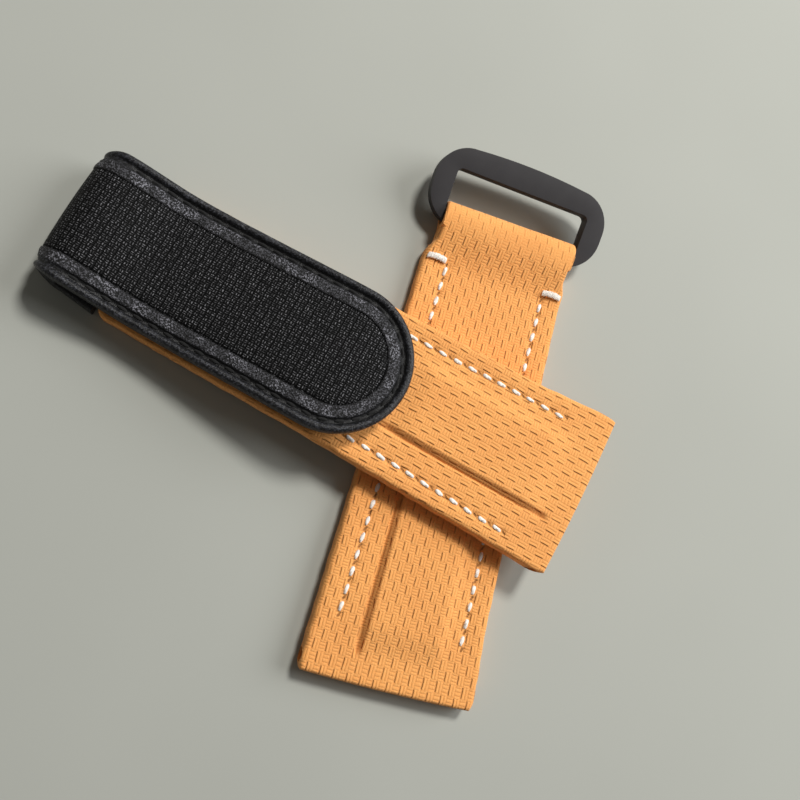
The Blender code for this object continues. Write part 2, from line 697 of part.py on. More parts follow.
def tail_piece(name, profile, finish, carrier, closed):
    """A layer of the tail: a section turned round the tip, then drawn back to the fold."""
    bm = bmesh.new()
    points = [(reach, TIP_CENTRE_Y, 2 * FOLD_RADIUS - depth) for reach, depth in profile]
    verts, edges = (closed_loop if closed else open_line)(bm, points)
    bmesh.ops.spin(bm, geom=verts + edges, cent=(0.0, TIP_CENTRE_Y, 0.0), axis=(0.0, 0.0, 1.0),
                   angle=-math.radians(HALF_TURN), steps=TIP_STEPS, use_merge=False, use_duplicate=False)
    bmesh.ops.remove_doubles(bm, verts=bm.verts, dist=WELD)
    rims = [edge for edge in bm.edges if edge.is_boundary]
    grown = bmesh.ops.extrude_edge_only(bm, edges=rims)["geom"]
    moved = [item for item in grown if isinstance(item, bmesh.types.BMVert)]
    bmesh.ops.translate(bm, verts=moved, vec=(0.0, FOLD_Y - HINGE_GAP / 2 - TIP_CENTRE_Y, 0.0))
    cap_ends(bm)
    piece = to_object(name, bm, PARTS)
    dress(bend(piece, bend_lid, LID_STATIONS), *finish)
    return carry(piece, carrier, HINGES[-1])


def build_root(carrier):
    """The black strip's root, which lies on the table beyond the cloth."""
    for side, name in ((-1, "tail_root_edge_left"), (1, "tail_root_edge_right")):
        root_piece(name, edge_section(side), BLACK_LEATHER, carrier)
    root_piece("tail_root_panel", mirrored(panel_profile()), BLACK_NYLON, carrier)
    root_piece("tail_root_backing", mirrored(layer_profile(BACKING_TOP, TAIL_THICKNESS)),
               BLACK_LEATHER, carrier)


def build_fold(carriers):
    """The links of the fold, each with its leather edges, nylon panel and backing."""
    for index in range(1, FOLD_LINKS + 1):
        carrier = carriers[index - 1]
        prefix = f"fold_link_{index}_"
        link_piece(prefix + "edge_left", index, edge_section(-1), BLACK_LEATHER, carrier)
        link_piece(prefix + "edge_right", index, edge_section(1), BLACK_LEATHER, carrier)
        link_piece(prefix + "panel", index, mirrored(panel_profile()), BLACK_NYLON, carrier)
        link_piece(prefix + "backing", index, mirrored(layer_profile(STIFFENER_TOP, TAIL_THICKNESS)),
                   BLACK_LEATHER, carrier)


def build_tail(carrier):
    """The tail that folds back: leather edge, panel, stiffener, backing and hook tape."""
    edge = [(TAIL_WIDTH / 2 - inset, depth) for inset, depth in edge_profile()]
    tail_piece("tail_leather_edge", edge, BLACK_LEATHER, carrier, closed=True)
    tail_piece("tail_nylon_panel", panel_profile(), BLACK_NYLON, carrier, closed=False)
    tail_piece("tail_stiffener", layer_profile(STIFFENER_TOP, STIFFENER_BOTTOM), PALE_TAPE,
               carrier, closed=False)
    tail_piece("tail_backing", layer_profile(BACKING_TOP, TAIL_THICKNESS), BLACK_LEATHER,
               carrier, closed=False)
    start = TAIL_TIP_Y + HOOK_TAPE_INSET
    bm = box((-HOOK_TAPE_WIDTH / 2, start, HOOK_TAPE_Z),
             (HOOK_TAPE_WIDTH / 2, start + HOOK_TAPE_LENGTH, HOOK_TAPE_Z + HOOK_TAPE))
    round_edges(bm, TAPE_ROUND, lambda middle, along: abs(along.z) > ALONG_SHARE)
    tape = to_object("hook_tape", bm, PARTS)
    dress(bend(tape, bend_tail, TAIL_STATIONS), *BLACK_TAPE)
    carry(tape, carrier, HINGES[-1])


def build():
    """Make both halves, the ring and the folded tail, each on its own carrier."""
    short_frame = frame("short_half_frame", (0.0, -SHORT_LENGTH / 2, 0.0))
    ring_frame = frame("ring_axis", (0.0, SHORT_LENGTH, LOOP_RADIUS), short_frame)
    long_frame = frame("long_half_frame", (LONG_HALF_X, LONG_HALF_Y - SHORT_LENGTH / 2, 0.0),
                       turn=LONG_HALF_TURN)
    hinge_frames = []
    for index, hinge in enumerate(HINGES):
        behind = Vector(HINGES[index - 1]) if index else Vector()
        parent = hinge_frames[-1] if index else long_frame
        hinge_frames.append(frame(f"fold_hinge_{index + 1}", Vector(hinge) - behind, parent))
    build_short_half(short_frame)
    build_ring(ring_frame)
    build_long_half(long_frame)
    build_root(long_frame)
    build_fold(hinge_frames)
    build_tail(hinge_frames[-1])


PARTS = new_collection("hook_and_loop_watch_strap")
CUTTERS = new_collection("cutters")
build()
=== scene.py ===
"""The dressed hook and loop watch strap: cloth, leather, tapes, thread and ring.

Sizes are in millimetres while a piece is modelled, and in metres once it is
placed. In each half's own frame the lug end is at y = 0, the far end is at +Y
and the wearer's skin is below z = 0.
"""
import logging
import math
import random
from dataclasses import dataclass, field
from enum import Enum
from typing import Any, Callable, Iterable, Sequence

import bmesh
import bpy
from mathutils import Matrix, Vector, noise


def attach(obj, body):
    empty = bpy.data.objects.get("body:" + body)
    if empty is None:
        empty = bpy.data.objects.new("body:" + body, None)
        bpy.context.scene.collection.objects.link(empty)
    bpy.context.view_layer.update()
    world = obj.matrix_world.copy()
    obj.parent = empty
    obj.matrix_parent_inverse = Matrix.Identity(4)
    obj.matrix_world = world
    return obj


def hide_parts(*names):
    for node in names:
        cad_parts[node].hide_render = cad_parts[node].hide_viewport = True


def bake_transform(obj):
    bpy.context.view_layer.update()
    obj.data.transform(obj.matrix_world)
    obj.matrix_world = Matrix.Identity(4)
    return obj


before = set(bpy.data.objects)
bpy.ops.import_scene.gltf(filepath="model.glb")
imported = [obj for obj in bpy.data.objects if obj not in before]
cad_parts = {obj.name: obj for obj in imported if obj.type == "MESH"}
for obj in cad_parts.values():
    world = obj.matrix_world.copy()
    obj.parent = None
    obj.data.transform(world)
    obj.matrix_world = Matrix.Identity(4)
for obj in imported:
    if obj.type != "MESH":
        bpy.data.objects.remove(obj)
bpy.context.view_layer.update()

MM = 0.001
WELD = 0.00001
Move = Callable[[Vector], Vector]
EdgeTest = Callable[[Vector, Vector], bool]
Pair = tuple[float, float]
Colour = tuple[float, float, float]
LOG = logging.getLogger("watch_strap")


# Shares and places


def ramp(value: float, start: float, stop: float) -> float:
    """Share of the way from start to stop, held at 0 and 1 outside.

    Args:
        value: The place that is asked about.
        start: Where the share is 0.
        stop: Where the share is 1.

    Returns:
        A share from 0 to 1.
    """
    return min(max((value - start) / (stop - start), 0.0), 1.0)


def eased(share: float) -> float:
    """A share that leaves 0 and reaches 1 without a corner."""
    return share * share * (3.0 - 2.0 * share)


def between(start: float, stop: float, share: float) -> float:
    """The value that lies at this share between two others."""
    return start + (stop - start) * share


def hump(distance: float, reach: float) -> float:
    """A smooth hump: 1 at no distance, 0 at reach and beyond."""
    return 1.0 - eased(ramp(abs(distance), 0.0, reach))


def plateau(value: float, rise: Pair, fall: Pair) -> float:
    """0 outside, 1 from the end of the rise to the start of the fall."""
    return ramp(value, *rise) * (1.0 - ramp(value, *fall))


def steps(start: float, stop: float, size: float) -> list[float]:
    """Evenly spaced values from start to stop, at most size apart.

    Args:
        start: The first value.
        stop: The last value.
        size: The widest spacing allowed.

    Returns:
        The values in order, both ends included.
    """
    count = max(1, math.ceil(abs(stop - start) / size))
    return [between(start, stop, index / count) for index in range(count + 1)]


def both_sides(places: Iterable[float]) -> list[float]:
    """The same places left and right of the middle line."""
    places = list(places)
    return [side * place for side in (-1, 1) for place in places]


def wander(x: float, y: float, reach: float, seed: float = 0.0) -> float:
    """Slow unevenness from about -0.5 to 0.5, whose swings are reach apart."""
    return noise.noise(Vector((x / reach, y / reach, seed)))


# Mesh work


def slab(low: Sequence[float], high: Sequence[float]) -> bmesh.types.BMesh:
    """A box between two corners.

    Args:
        low: The lowest corner.
        high: The highest corner.

    Returns:
        A new bmesh that holds the box.
    """
    bm = bmesh.new()
    size, middle = Vector(high) - Vector(low), (Vector(high) + Vector(low)) / 2
    bmesh.ops.create_cube(bm, size=1.0, matrix=Matrix.Translation(middle) @ Matrix.Diagonal(size).to_4x4())
    return bm


def drum(radius: float, length: float, y: float, z: float, facets: int = 48) -> bmesh.types.BMesh:
    """A cylinder that lies along X.

    Args:
        radius: Its radius.
        length: Its length along X.
        y: Where its middle line is.
        z: How high its middle line is.
        facets: How many sides it has.

    Returns:
        A new bmesh that holds the cylinder.
    """
    bm = bmesh.new()
    place = Matrix.Translation((0.0, y, z)) @ Matrix.Rotation(math.pi / 2, 4, "Y")
    bmesh.ops.create_cone(bm, cap_ends=True, segments=facets, radius1=radius, radius2=radius,
                          depth=length, matrix=place)
    return bm


def upright(middle: Vector, along: Vector) -> bool:
    """Whether an edge stands up, for rounding the corners of a flat piece."""
    return abs(along.z) > 0.9


def round_edges(bm: bmesh.types.BMesh, radius: float, wanted: EdgeTest, segments: int = 4) -> None:
    """Round the edges that pass a test.

    Args:
        bm: The mesh.
        radius: How far the rounding reaches from the edge.
        wanted: Takes an edge's middle and direction, and says whether it is rounded.
        segments: How many faces make the rounding.
    """
    edges = [edge for edge in bm.edges
             if wanted((edge.verts[0].co + edge.verts[1].co) / 2,
                       (edge.verts[0].co - edge.verts[1].co).normalized())]
    bmesh.ops.bevel(bm, geom=edges, offset=radius, offset_type="OFFSET", segments=segments,
                    profile=0.5, affect="EDGES", material=-1, clamp_overlap=True)


def to_mesh(name: str, bm: bmesh.types.BMesh) -> bpy.types.Mesh:
    """Write a bmesh into a new mesh.

    Args:
        name: The mesh's name.
        bm: The bmesh. It is freed.

    Returns:
        The new mesh.
    """
    mesh = bpy.data.meshes.new(name)
    bm.to_mesh(mesh)
    bm.free()
    return mesh


def into_scene(name: str, data: Any) -> bpy.types.Object:
    """Put a mesh, a light or a camera into the scene as an object.

    Args:
        name: The object's name.
        data: What it holds.

    Returns:
        The new object.
    """
    obj = bpy.data.objects.new(name, data)
    bpy.context.scene.collection.objects.link(obj)
    return obj


def carve(bm: bmesh.types.BMesh, tool: bmesh.types.BMesh, operation: str = "DIFFERENCE") -> bmesh.types.BMesh:
    """Cut one mesh with another, or join them.

    Args:
        bm: The mesh that is worked on. It is freed.
        tool: The mesh that cuts or is added. It is freed.
        operation: DIFFERENCE or UNION.

    Returns:
        A new bmesh with the result.
    """
    objects = []
    for source in (bm, tool):
        bmesh.ops.recalc_face_normals(source, faces=source.faces)
        objects.append(into_scene("carving", to_mesh("carving", source)))
    modifier = objects[0].modifiers.new("cut", "BOOLEAN")
    modifier.operation = operation
    modifier.solver = "EXACT"
    modifier.object = objects[1]
    result = bmesh.new()
    result.from_object(objects[0], bpy.context.evaluated_depsgraph_get())
    for obj in objects:
        mesh = obj.data
        bpy.data.objects.remove(obj)
        bpy.data.meshes.remove(mesh)
    bmesh.ops.remove_doubles(result, verts=result.verts, dist=WELD)
    return result


def divide(bm: bmesh.types.BMesh, axis: int, places: Iterable[float],
           faces: Iterable[Any] | None = None) -> list:
    """Cut a mesh straight through at several places along one axis.

    Args:
        bm: The mesh.
        axis: 0, 1 or 2 for X, Y or Z.
        places: Where it is cut.
        faces: The faces that are cut, or none for all of them.

    Returns:
        The faces that were cut, and the new ones that came from them.
    """
    chosen = list(bm.faces if faces is None else faces)
    geom = list({*chosen, *(e for f in chosen for e in f.edges), *(v for f in chosen for v in f.verts)})
    normal = Vector([float(index == axis) for index in range(3)])
    for place in places:
        geom = bmesh.ops.bisect_plane(bm, geom=geom, dist=WELD, plane_co=normal * place,
                                      plane_no=normal)["geom"]
    return [item for item in geom if isinstance(item, bmesh.types.BMFace)]


def close_up(bm: bmesh.types.BMesh) -> None:
    """Close every open end with a flat face."""
    bmesh.ops.holes_fill(bm, edges=[edge for edge in bm.edges if edge.is_boundary], sides=0)


def split_large_faces(bm: bmesh.types.BMesh) -> None:
    """Cut faces of more than four corners into triangles, so that they bend well."""
    bmesh.ops.triangulate(bm, faces=[face for face in bm.faces if len(face.verts) > 4])


def move_points(bm: bmesh.types.BMesh, move: Move) -> None:
    """Take every point of a mesh to its place by one function."""
    for vert in bm.verts:
        vert.co = move(vert.co)


def draw_out(bm: bmesh.types.BMesh, geom: Iterable[Any], length: float) -> None:
    """Draw open edges out along Y.

    Args:
        bm: The mesh.
        geom: The edges, and perhaps their vertices.
        length: How far they are drawn.
    """
    edges = [item for item in geom if isinstance(item, bmesh.types.BMEdge)]
    grown = bmesh.ops.extrude_edge_only(bm, edges=edges)["geom"]
    moved = [item for item in grown if isinstance(item, bmesh.types.BMVert)]
    bmesh.ops.translate(bm, verts=moved, vec=(0.0, length, 0.0))


def outline(bm: bmesh.types.BMesh, points: Sequence[Sequence[float]], closed: bool) -> list:
    """Draw a section as joined edges.

    Args:
        bm: The mesh that it is drawn in.
        points: The section's corners in order.
        closed: Whether the last corner joins the first.

    Returns:
        The new vertices and edges.
    """
    verts = [bm.verts.new(point) for point in points]
    pairs = list(zip(verts, verts[1:])) + ([(verts[-1], verts[0])] if closed else [])
    return verts + [bm.edges.new(pair) for pair in pairs]


def paint_map(bm: bmesh.types.BMesh, name: str, place: Callable[[Vector, Vector], Pair]) -> None:
    """Write a UV map from each corner's point and its face's normal.

    Args:
        bm: The mesh.
        name: The map's name.
        place: Takes a point and a normal, and gives the two values.
    """
    layer = bm.loops.layers.uv.new(name)
    for face in bm.faces:
        normal = face.normal
        for loop in face.loops:
            loop[layer].uv = place(loop.vert.co, normal)


# Finishes


def tint(red: int, green: int, blue: int) -> Colour:
    """A screen colour from 0 to 255 as linear light."""
    return tuple(value / 255 / 12.92 if value < 11 else ((value / 255 + 0.055) / 1.055) ** 2.4
                 for value in (red, green, blue))


class Slot(Enum):
    """The record's material slots."""

    ORANGE_CLOTH = "orange_cloth"
    BLACK_LEATHER = "black_leather"
    BLACK_NYLON = "black_nylon"
    FASTENING_TAPE = "fastening_tape"
    DARK_LINING = "dark_lining"
    FOAM = "foam_padding"
    STIFFENER = "pale_stiffener"
    WHITE_THREAD = "white_thread"
    DARK_METAL = "dark_metal"


class Recipe:
    """A material's nodes, with short ways to add more of them."""

    def __init__(self, name: str, roughness: float) -> None:
        """Start a material with a plain shader.

        Args:
            name: The material's name.
            roughness: The shader's roughness, the same all over.
        """
        self.material = bpy.data.materials.new(name)
        self.material.use_nodes = True
        self.tree = self.material.node_tree
        self.shader = self.tree.nodes["Principled BSDF"]
        self.set("Roughness", roughness)

    def set(self, socket: str, value: Any) -> None:
        """Set or feed one of the shader's sockets."""
        self.feed(self.shader.inputs[socket], value)

    def feed(self, socket: Any, value: Any) -> None:
        """Link a socket to another one, or give it a fixed value.

        Args:
            socket: The socket that is fed.
            value: A node's output, a number, a vector or a colour.
        """
        if isinstance(value, bpy.types.NodeSocket):
            self.tree.links.new(value, socket)
        elif isinstance(value, tuple) and len(value) == 3 and socket.type == "RGBA":
            socket.default_value = (*value, 1.0)
        else:
            socket.default_value = value

    def add(self, kind: str, inputs: dict[Any, Any], **settings: Any) -> Any:
        """Add a node.

        Args:
            kind: The node's type in Blender.
            inputs: What goes into its sockets, by name or number.
            settings: Its own settings.

        Returns:
            The new node.
        """
        node = self.tree.nodes.new(kind)
        for name, value in settings.items():
            setattr(node, name, value)
        for key, value in inputs.items():
            self.feed(node.inputs[key], value)
        return node

    def maths(self, operation: str, *values: Any) -> Any:
        """The result of a Math node on up to three values."""
        return self.add("ShaderNodeMath", dict(enumerate(values)), operation=operation).outputs[0]

    def less(self, first: Any, second: Any) -> Any:
        """The first value less the second."""
        return self.maths("SUBTRACT", first, second)

    def total(self, *values: Any) -> Any:
        """The sum of several values.

        Args:
            values: Sockets or numbers.

        Returns:
            The sum's socket.
        """
        result = values[0]
        for value in values[1:]:
            result = self.maths("ADD", result, value)
        return result

    def product(self, *values: Any) -> Any:
        """The product of several values.

        Args:
            values: Sockets or numbers.

        Returns:
            The product's socket.
        """
        result = values[0]
        for value in values[1:]:
            result = self.maths("MULTIPLY", result, value)
        return result

    def soft(self, value: Any, start: float, stop: float, low: float = 0.0, high: float = 1.0) -> Any:
        """Low up to start, high from stop on, and a smooth change between."""
        sockets = {0: value, 1: start, 2: stop, 3: low, 4: high}
        return self.add("ShaderNodeMapRange", sockets, interpolation_type="SMOOTHSTEP").outputs[0]

    def line(self, value: Any, middle: float, half: float, edge: float) -> Any:
        """1 near the middle value and 0 away from it.

        Args:
            value: The value that is tested.
            middle: The middle of the line.
            half: Half of the line's full-strength width.
            edge: How far it fades beyond that.

        Returns:
            The line's strength from 0 to 1.
        """
        away = self.maths("ABSOLUTE", self.less(value, middle))
        return self.soft(away, half, half + edge, 1.0, 0.0)

    def inside(self, value: Any, rise: Pair, fall: Pair, low: float = 0.0) -> Any:
        """Low outside, 1 from the end of the rise to the start of the fall."""
        return self.product(self.soft(value, *rise, low, 1.0), self.soft(value, *fall, 1.0, low))

    def blocks(self, value: Any, drift: Any, sway: float, size: float) -> Any:
        """A place as a count of the weave's blocks, which sway with a slow drift."""
        return self.maths("DIVIDE", self.total(value, self.product(drift, sway)), size)

    def checks(self, columns: Any, rows: Any) -> tuple[Any, Any]:
        """Masks of the weave's blocks, which take turns both ways.

        Args:
            columns: Count of blocks across.
            rows: Count of blocks along.

        Returns:
            The mask of the even blocks, then that of the odd ones.
        """
        count = self.total(self.maths("FLOOR", columns), self.maths("FLOOR", rows))
        odd = self.maths("FLOORED_MODULO", count, 2.0)
        return self.less(1.0, odd), odd

    def yarns(self, share: Any, start: float, size: float, power: float = 0.7) -> Any:
        """Rounded yarns side by side: 1 on each crown, 0 between two of them.

        Args:
            share: The place across the yarns.
            start: Where one yarn starts.
            size: How wide each one is.
            power: How boxy they are, from 1 for round to 0 for square.

        Returns:
            The yarns' height from 0 to 1.
        """
        turn = self.product(self.less(share, start), math.pi / size)
        return self.maths("POWER", self.maths("ABSOLUTE", self.maths("SINE", turn)), power)

    def map(self, name: str) -> tuple[Any, Any, Any]:
        """A UV map as sockets.

        Args:
            name: The map's name.

        Returns:
            Its vector and its two values.
        """
        vector = self.add("ShaderNodeUVMap", {}, uv_map=name).outputs[0]
        parts = self.add("ShaderNodeSeparateXYZ", {0: vector})
        return vector, parts.outputs[0], parts.outputs[1]

    def place(self) -> Any:
        """The piece's own coordinates, in millimetres."""
        where = self.add("ShaderNodeTexCoord", {}).outputs["Object"]
        return self.add("ShaderNodeMapping", {0: where, 3: (1 / MM,) * 3}).outputs[0]

    def cloud(self, vector: Any, scale: float, detail: float = 2.0, rough: float = 0.5) -> Any:
        """Noise from 0 to 1 over a vector."""
        sockets = {"Vector": vector, "Scale": scale, "Detail": detail, "Roughness": rough}
        return self.add("ShaderNodeTexNoise", sockets).outputs[0]

    def cells(self, vector: Any, scale: float) -> Any:
        """Distance to the nearest of many scattered points."""
        return self.add("ShaderNodeTexVoronoi", {"Vector": vector, "Scale": scale}).outputs["Distance"]

    def stretch(self, vector: Any, scale: Sequence[float]) -> Any:
        """A vector with its three parts scaled."""
        return self.add("ShaderNodeMapping", {0: vector, 3: tuple(scale)}).outputs[0]

    def mix(self, share: Any, first: Any, second: Any) -> Any:
        """A colour between two others.

        Args:
            share: 0 for the first, 1 for the second.
            first: A colour.
            second: Another colour.

        Returns:
            The mixed colour.
        """
        node = self.add("ShaderNodeMix", {"Factor": share}, data_type="RGBA")
        self.feed(node.inputs[6], first)
        self.feed(node.inputs[7], second)
        return node.outputs[2]

    def relief(self, height: Any, depth: float) -> None:
        """Give the shader fine relief, where a height of 1 is this many millimetres."""
        bump = self.add("ShaderNodeBump", {"Strength": 1.0, "Distance": depth * MM, "Height": height})
        self.set("Normal", bump.outputs[0])


@dataclass(frozen=True)
class OrangeCloth:
    """Basket weave of flat orange yarns, two lengthwise over three crosswise."""

    block_across: float = 0.915
    block_along: float = 1.375
    first_yarn: float = 0.09
    first_row: float = 0.22
    neck: Pair = (62.6, 64.6)
    neck_share: float = 0.42
    stitch_foot: float = 0.8
    before_first: Pair = (-0.35, -0.3)
    face: Colour = tint(254, 175, 98)
    pale: Colour = tint(255, 187, 112)
    faded: Colour = tint(236, 154, 86)
    # Painted shade colour for the valleys between the yarns.
    shade: Colour = tint(220, 140, 72)
    # Painted shade colour for the slits and the pressed crease.
    deep: Colour = tint(150, 82, 26)
    # Painted shade colour for the needle holes.
    hole: Colour = tint(104, 56, 22)

    def make(self) -> bpy.types.Material:
        """The material, on the maps cloth, seam and crease.

        Returns:
            The new material.
        """
        recipe = Recipe("orange_cloth", 0.8)
        vector, across, along = recipe.map("cloth")
        drift = recipe.cloud(vector, 0.35, 1.0)
        columns = recipe.blocks(across, drift, 0.25, self.block_across)
        rows = recipe.blocks(along, drift, 0.35, self.block_along)
        even, odd = recipe.checks(columns, rows)
        column, row = recipe.maths("FRACT", columns), recipe.maths("FRACT", rows)
        calm = recipe.soft(along, *self.neck, 1.0, self.neck_share)
        lengthwise = recipe.product(recipe.yarns(column, self.first_yarn, 0.5),
                                    recipe.inside(row, (0.0, 0.16), (0.84, 1.0), 0.45))
        crosswise = recipe.product(recipe.yarns(row, self.first_row, 0.3),
                                   recipe.inside(column, (0.04, 0.24), (0.8, 1.0), 0.3))
        yarn = recipe.total(recipe.product(lengthwise, even), recipe.product(crosswise, odd, 0.85))
        uneven = recipe.soft(recipe.cloud(vector, 0.8, 1.0), 0.3, 0.55, 0.5, 1.0)
        # The slits are real gaps in the weave and are pressed into the relief; their dark colour is painted
        # shade.
        slit = recipe.product(recipe.line(column, self.first_yarn, 0.04, 0.12),
                              recipe.inside(row, (0.02, 0.14), (0.86, 0.98)), even, uneven, calm)
        patches = recipe.soft(recipe.cloud(vector, 0.55, 2.0), 0.3, 0.6, 0.4, 1.0)
        # Painted shade: the colour darkens between the yarns, in the valleys of the weave, in patches.
        valley_shade = recipe.product(recipe.soft(yarn, 0.1, 0.75, 1.0, 0.0), patches, calm)
        fibres = recipe.cloud(recipe.stretch(vector, (7.0, 3.0, 1.0)), 1.0, 3.0, 0.65)
        # The needle holes are real and pressed into the relief; their dark colour is painted shade.
        hole, pull = self.needle_holes(recipe)
        height = recipe.total(recipe.product(yarn, recipe.product(calm, 0.42)), recipe.product(fibres, 0.34))
        height = recipe.less(height, recipe.product(slit, 0.8))
        height = recipe.less(height, recipe.total(recipe.product(hole, 0.8), recipe.product(pull, 0.5)))
        blotches = recipe.soft(recipe.cloud(vector, 0.12, 3.0), 0.35, 0.7)
        colour = recipe.mix(recipe.soft(fibres, 0.4, 0.7), self.face, self.pale)
        for mask, share, second in ((blotches, 0.25, self.faded), (valley_shade, 0.34, self.shade),
                                    (slit, 0.45, self.deep), (hole, 0.85, self.hole),
                                    # Painted shade along the pressed crease beside the padding.
                                    (recipe.map("crease")[1], 0.48, self.deep)):
            colour = recipe.mix(recipe.product(mask, share), colour, second)
        recipe.set("Base Color", colour)
        recipe.set("Specular IOR Level", 0.2)
        recipe.set("Sheen Weight", 0.1)
        recipe.set("Sheen Roughness", 0.5)
        recipe.relief(height, 0.15)
        return recipe.material

    def needle_holes(self, recipe: Recipe) -> tuple[Any, Any]:
        """Where the needle went through, on the map seam.

        Args:
            recipe: The material's nodes.

        Returns:
            The holes, and the wider dips that the thread pulls round them.
        """
        _, off, turn = recipe.map("seam")
        beat = recipe.maths("FRACT", turn)
        lean = recipe.product(recipe.less(beat, self.stitch_foot), 0.9)
        sewn = recipe.soft(turn, *self.before_first)
        row = recipe.product(sewn, recipe.line(recipe.less(off, lean), 0.0, 0.06, 0.16))
        hole = recipe.product(row, recipe.line(beat, self.stitch_foot, 0.06, 0.14), 0.75)
        pull = recipe.product(sewn, recipe.line(off, 0.0, 0.1, 0.6), recipe.line(beat, 0.78, 0.1, 0.3))
        return hole, pull


@dataclass(frozen=True)
class BlackNylon:
    """Black basket weave of fine flat yarns, with a groove at every second row; shade and glints are painted
    into its colour.
    """

    block_across: float = 0.56
    block_along: float = 0.66
    dark: Colour = tint(2, 2, 3)
    face: Colour = tint(44, 44, 45)
    # Painted highlight colour for the glints on the yarn crowns.
    painted_glint: Colour = tint(138, 138, 142)

    def make(self) -> bpy.types.Material:
        """The material, on the map cloth.

        Returns:
            The new material.
        """
        recipe = Recipe("black_nylon", 0.6)
        vector, across, along = recipe.map("cloth")
        drift = recipe.cloud(vector, 0.6, 2.0)
        columns = recipe.blocks(across, drift, 0.3, self.block_across)
        rows = recipe.blocks(along, drift, 0.25, self.block_along)
        masks = recipe.checks(columns, rows)
        lifted = recipe.total(*(
            recipe.product(recipe.yarns(over, 0.0, 0.5, 1.2), recipe.yarns(under, 0.0, 1.0, 0.5), mask)
            for over, under, mask in ((columns, rows, masks[0]), (rows, columns, masks[1]))))
        highlight_and_wear = recipe.cloud(recipe.stretch(vector, (1.9, 2.3, 1.0)), 1.0, 2.0, 0.7)
        uneven = recipe.soft(highlight_and_wear, 0.34, 0.6, 0.55, 1.0)
        pair = recipe.maths("FRACT", recipe.product(rows, 0.5))
        groove = recipe.maths("MAXIMUM", *(recipe.line(pair, end, 0.04, 0.14) for end in (0.0, 1.0)))
        fleck = recipe.cloud(recipe.stretch(vector, (2.6, 6.5, 1.0)), 1.0, 2.0, 0.7)
        height = recipe.total(recipe.product(lifted, uneven), recipe.product(fleck, 0.4))
        height = recipe.less(height, recipe.product(groove, uneven, 0.2))
        # Painted highlights: glints on the lifted yarn crowns are lightened to pale grey.
        glints = recipe.product(recipe.soft(height, 0.7, 1.15), recipe.soft(fleck, 0.42, 0.64))
        # Painted shade: the colour darkens to near black where the weave lies low, between the yarns and in
        # the grooves.
        colour = recipe.mix(recipe.soft(height, 0.35, 1.1), self.dark, self.face)
        recipe.set("Base Color", recipe.mix(glints, colour, self.painted_glint))
        recipe.set("Specular IOR Level", 0.12)
        recipe.relief(height, 0.08)
        return recipe.material


@dataclass(frozen=True)
class EdgeLeather:
    """Black leather border: pebbled band with painted highlights on its pebble tips, groove and panel step
    painted dark as shade, rolled bead with painted glints.
    """

    groove: float = 1.5
    rim: float = 3.62
    band: Colour = tint(28, 28, 31)
    # Painted highlight colour for the pebbles' tips.
    highlight_and_wear: Colour = tint(156, 156, 165)
    bead: Colour = tint(12, 12, 14)
    bead_glint: Colour = tint(82, 84, 92)
    pit: Colour = tint(4, 4, 5)

    def make(self) -> bpy.types.Material:
        """The material, on the map edge: inset from the border, and way along it.

        Returns:
            The new material.
        """
        recipe = Recipe("black_leather", 0.42)
        _, inset, way = recipe.map("edge")
        where = recipe.place()
        pebbles = recipe.cells(where, 4.4)
        fine = recipe.cloud(where, 3.4, 4.0, 0.75)
        grain = recipe.total(recipe.product(fine, 1.3), 0.12)
        grain = recipe.less(grain, recipe.product(pebbles, 0.6))
        colour = recipe.mix(recipe.soft(grain, 0.1, 0.6), self.pit, self.band)
        # Painted highlights: in patches, the pebbles' tips on the band are lightened to a pale grey.
        patches = recipe.soft(recipe.cloud(where, 0.5, 2.0), 0.4, 0.6, 0.3, 1.0)
        tips = recipe.product(recipe.soft(grain, 0.4, 0.74), patches)
        colour = recipe.mix(recipe.product(tips, recipe.soft(inset, 1.7, 2.2, 0.3, 0.9)), colour, self.highlight_and_wear)
        # Painted highlights: light grey flecks on the bead where it catches the light.
        bead = recipe.mix(recipe.soft(fine, 0.46, 0.7), self.bead, self.bead_glint)
        flat = recipe.soft(inset, 1.75, 2.15)
        colour = recipe.mix(recipe.total(recipe.product(flat, 0.7), 0.3), bead, colour)
        # Painted shade: the stitch groove is darkened to near black, faded out round the fold.
        beyond_fold = recipe.soft(way, 9.5, 13.5, 0.2, 0.92)
        groove = recipe.product(recipe.line(inset, self.groove, 0.3, 0.3), beyond_fold)
        colour = recipe.mix(groove, colour, self.pit)
        # Painted shade: a dark line along the step down to the nylon panel.
        rim = recipe.product(recipe.line(inset, self.rim, 0.12, 0.22), 0.8)
        recipe.set("Base Color", recipe.mix(rim, colour, self.pit))
        recipe.set("Roughness", recipe.soft(inset, 1.0, 2.0, 0.4, 0.55))
        recipe.set("Specular IOR Level", 0.35)
        recipe.relief(recipe.product(grain, recipe.soft(inset, 1.7, 2.2, 0.45, 1.0)), 0.14)
        return recipe.material


@dataclass(frozen=True)
class GrainedLeather:
    """Plain dark leather with a fine grain, for linings and backings."""

    name: str
    face: Colour
    crease: Colour
    grain: float = 2.4
    roughness: float = 0.6

    def make(self) -> bpy.types.Material:
        """The material, on the piece's own coordinates.

        Returns:
            The new material.
        """
        recipe = Recipe(self.name, self.roughness)
        where = recipe.place()
        pebbles = recipe.cells(where, self.grain)
        fine = recipe.cloud(where, self.grain * 2, 4.0, 0.6)
        height = recipe.less(recipe.total(fine, 0.4), recipe.product(pebbles, 0.8))
        patches = recipe.soft(recipe.cloud(where, 0.12, 3.0), 0.4, 0.7)
        colour = recipe.mix(recipe.soft(height, 0.2, 0.7), self.crease, self.face)
        recipe.set("Base Color", recipe.mix(recipe.product(patches, 0.25), colour, self.crease))
        recipe.relief(height, 0.07)
        return recipe.material


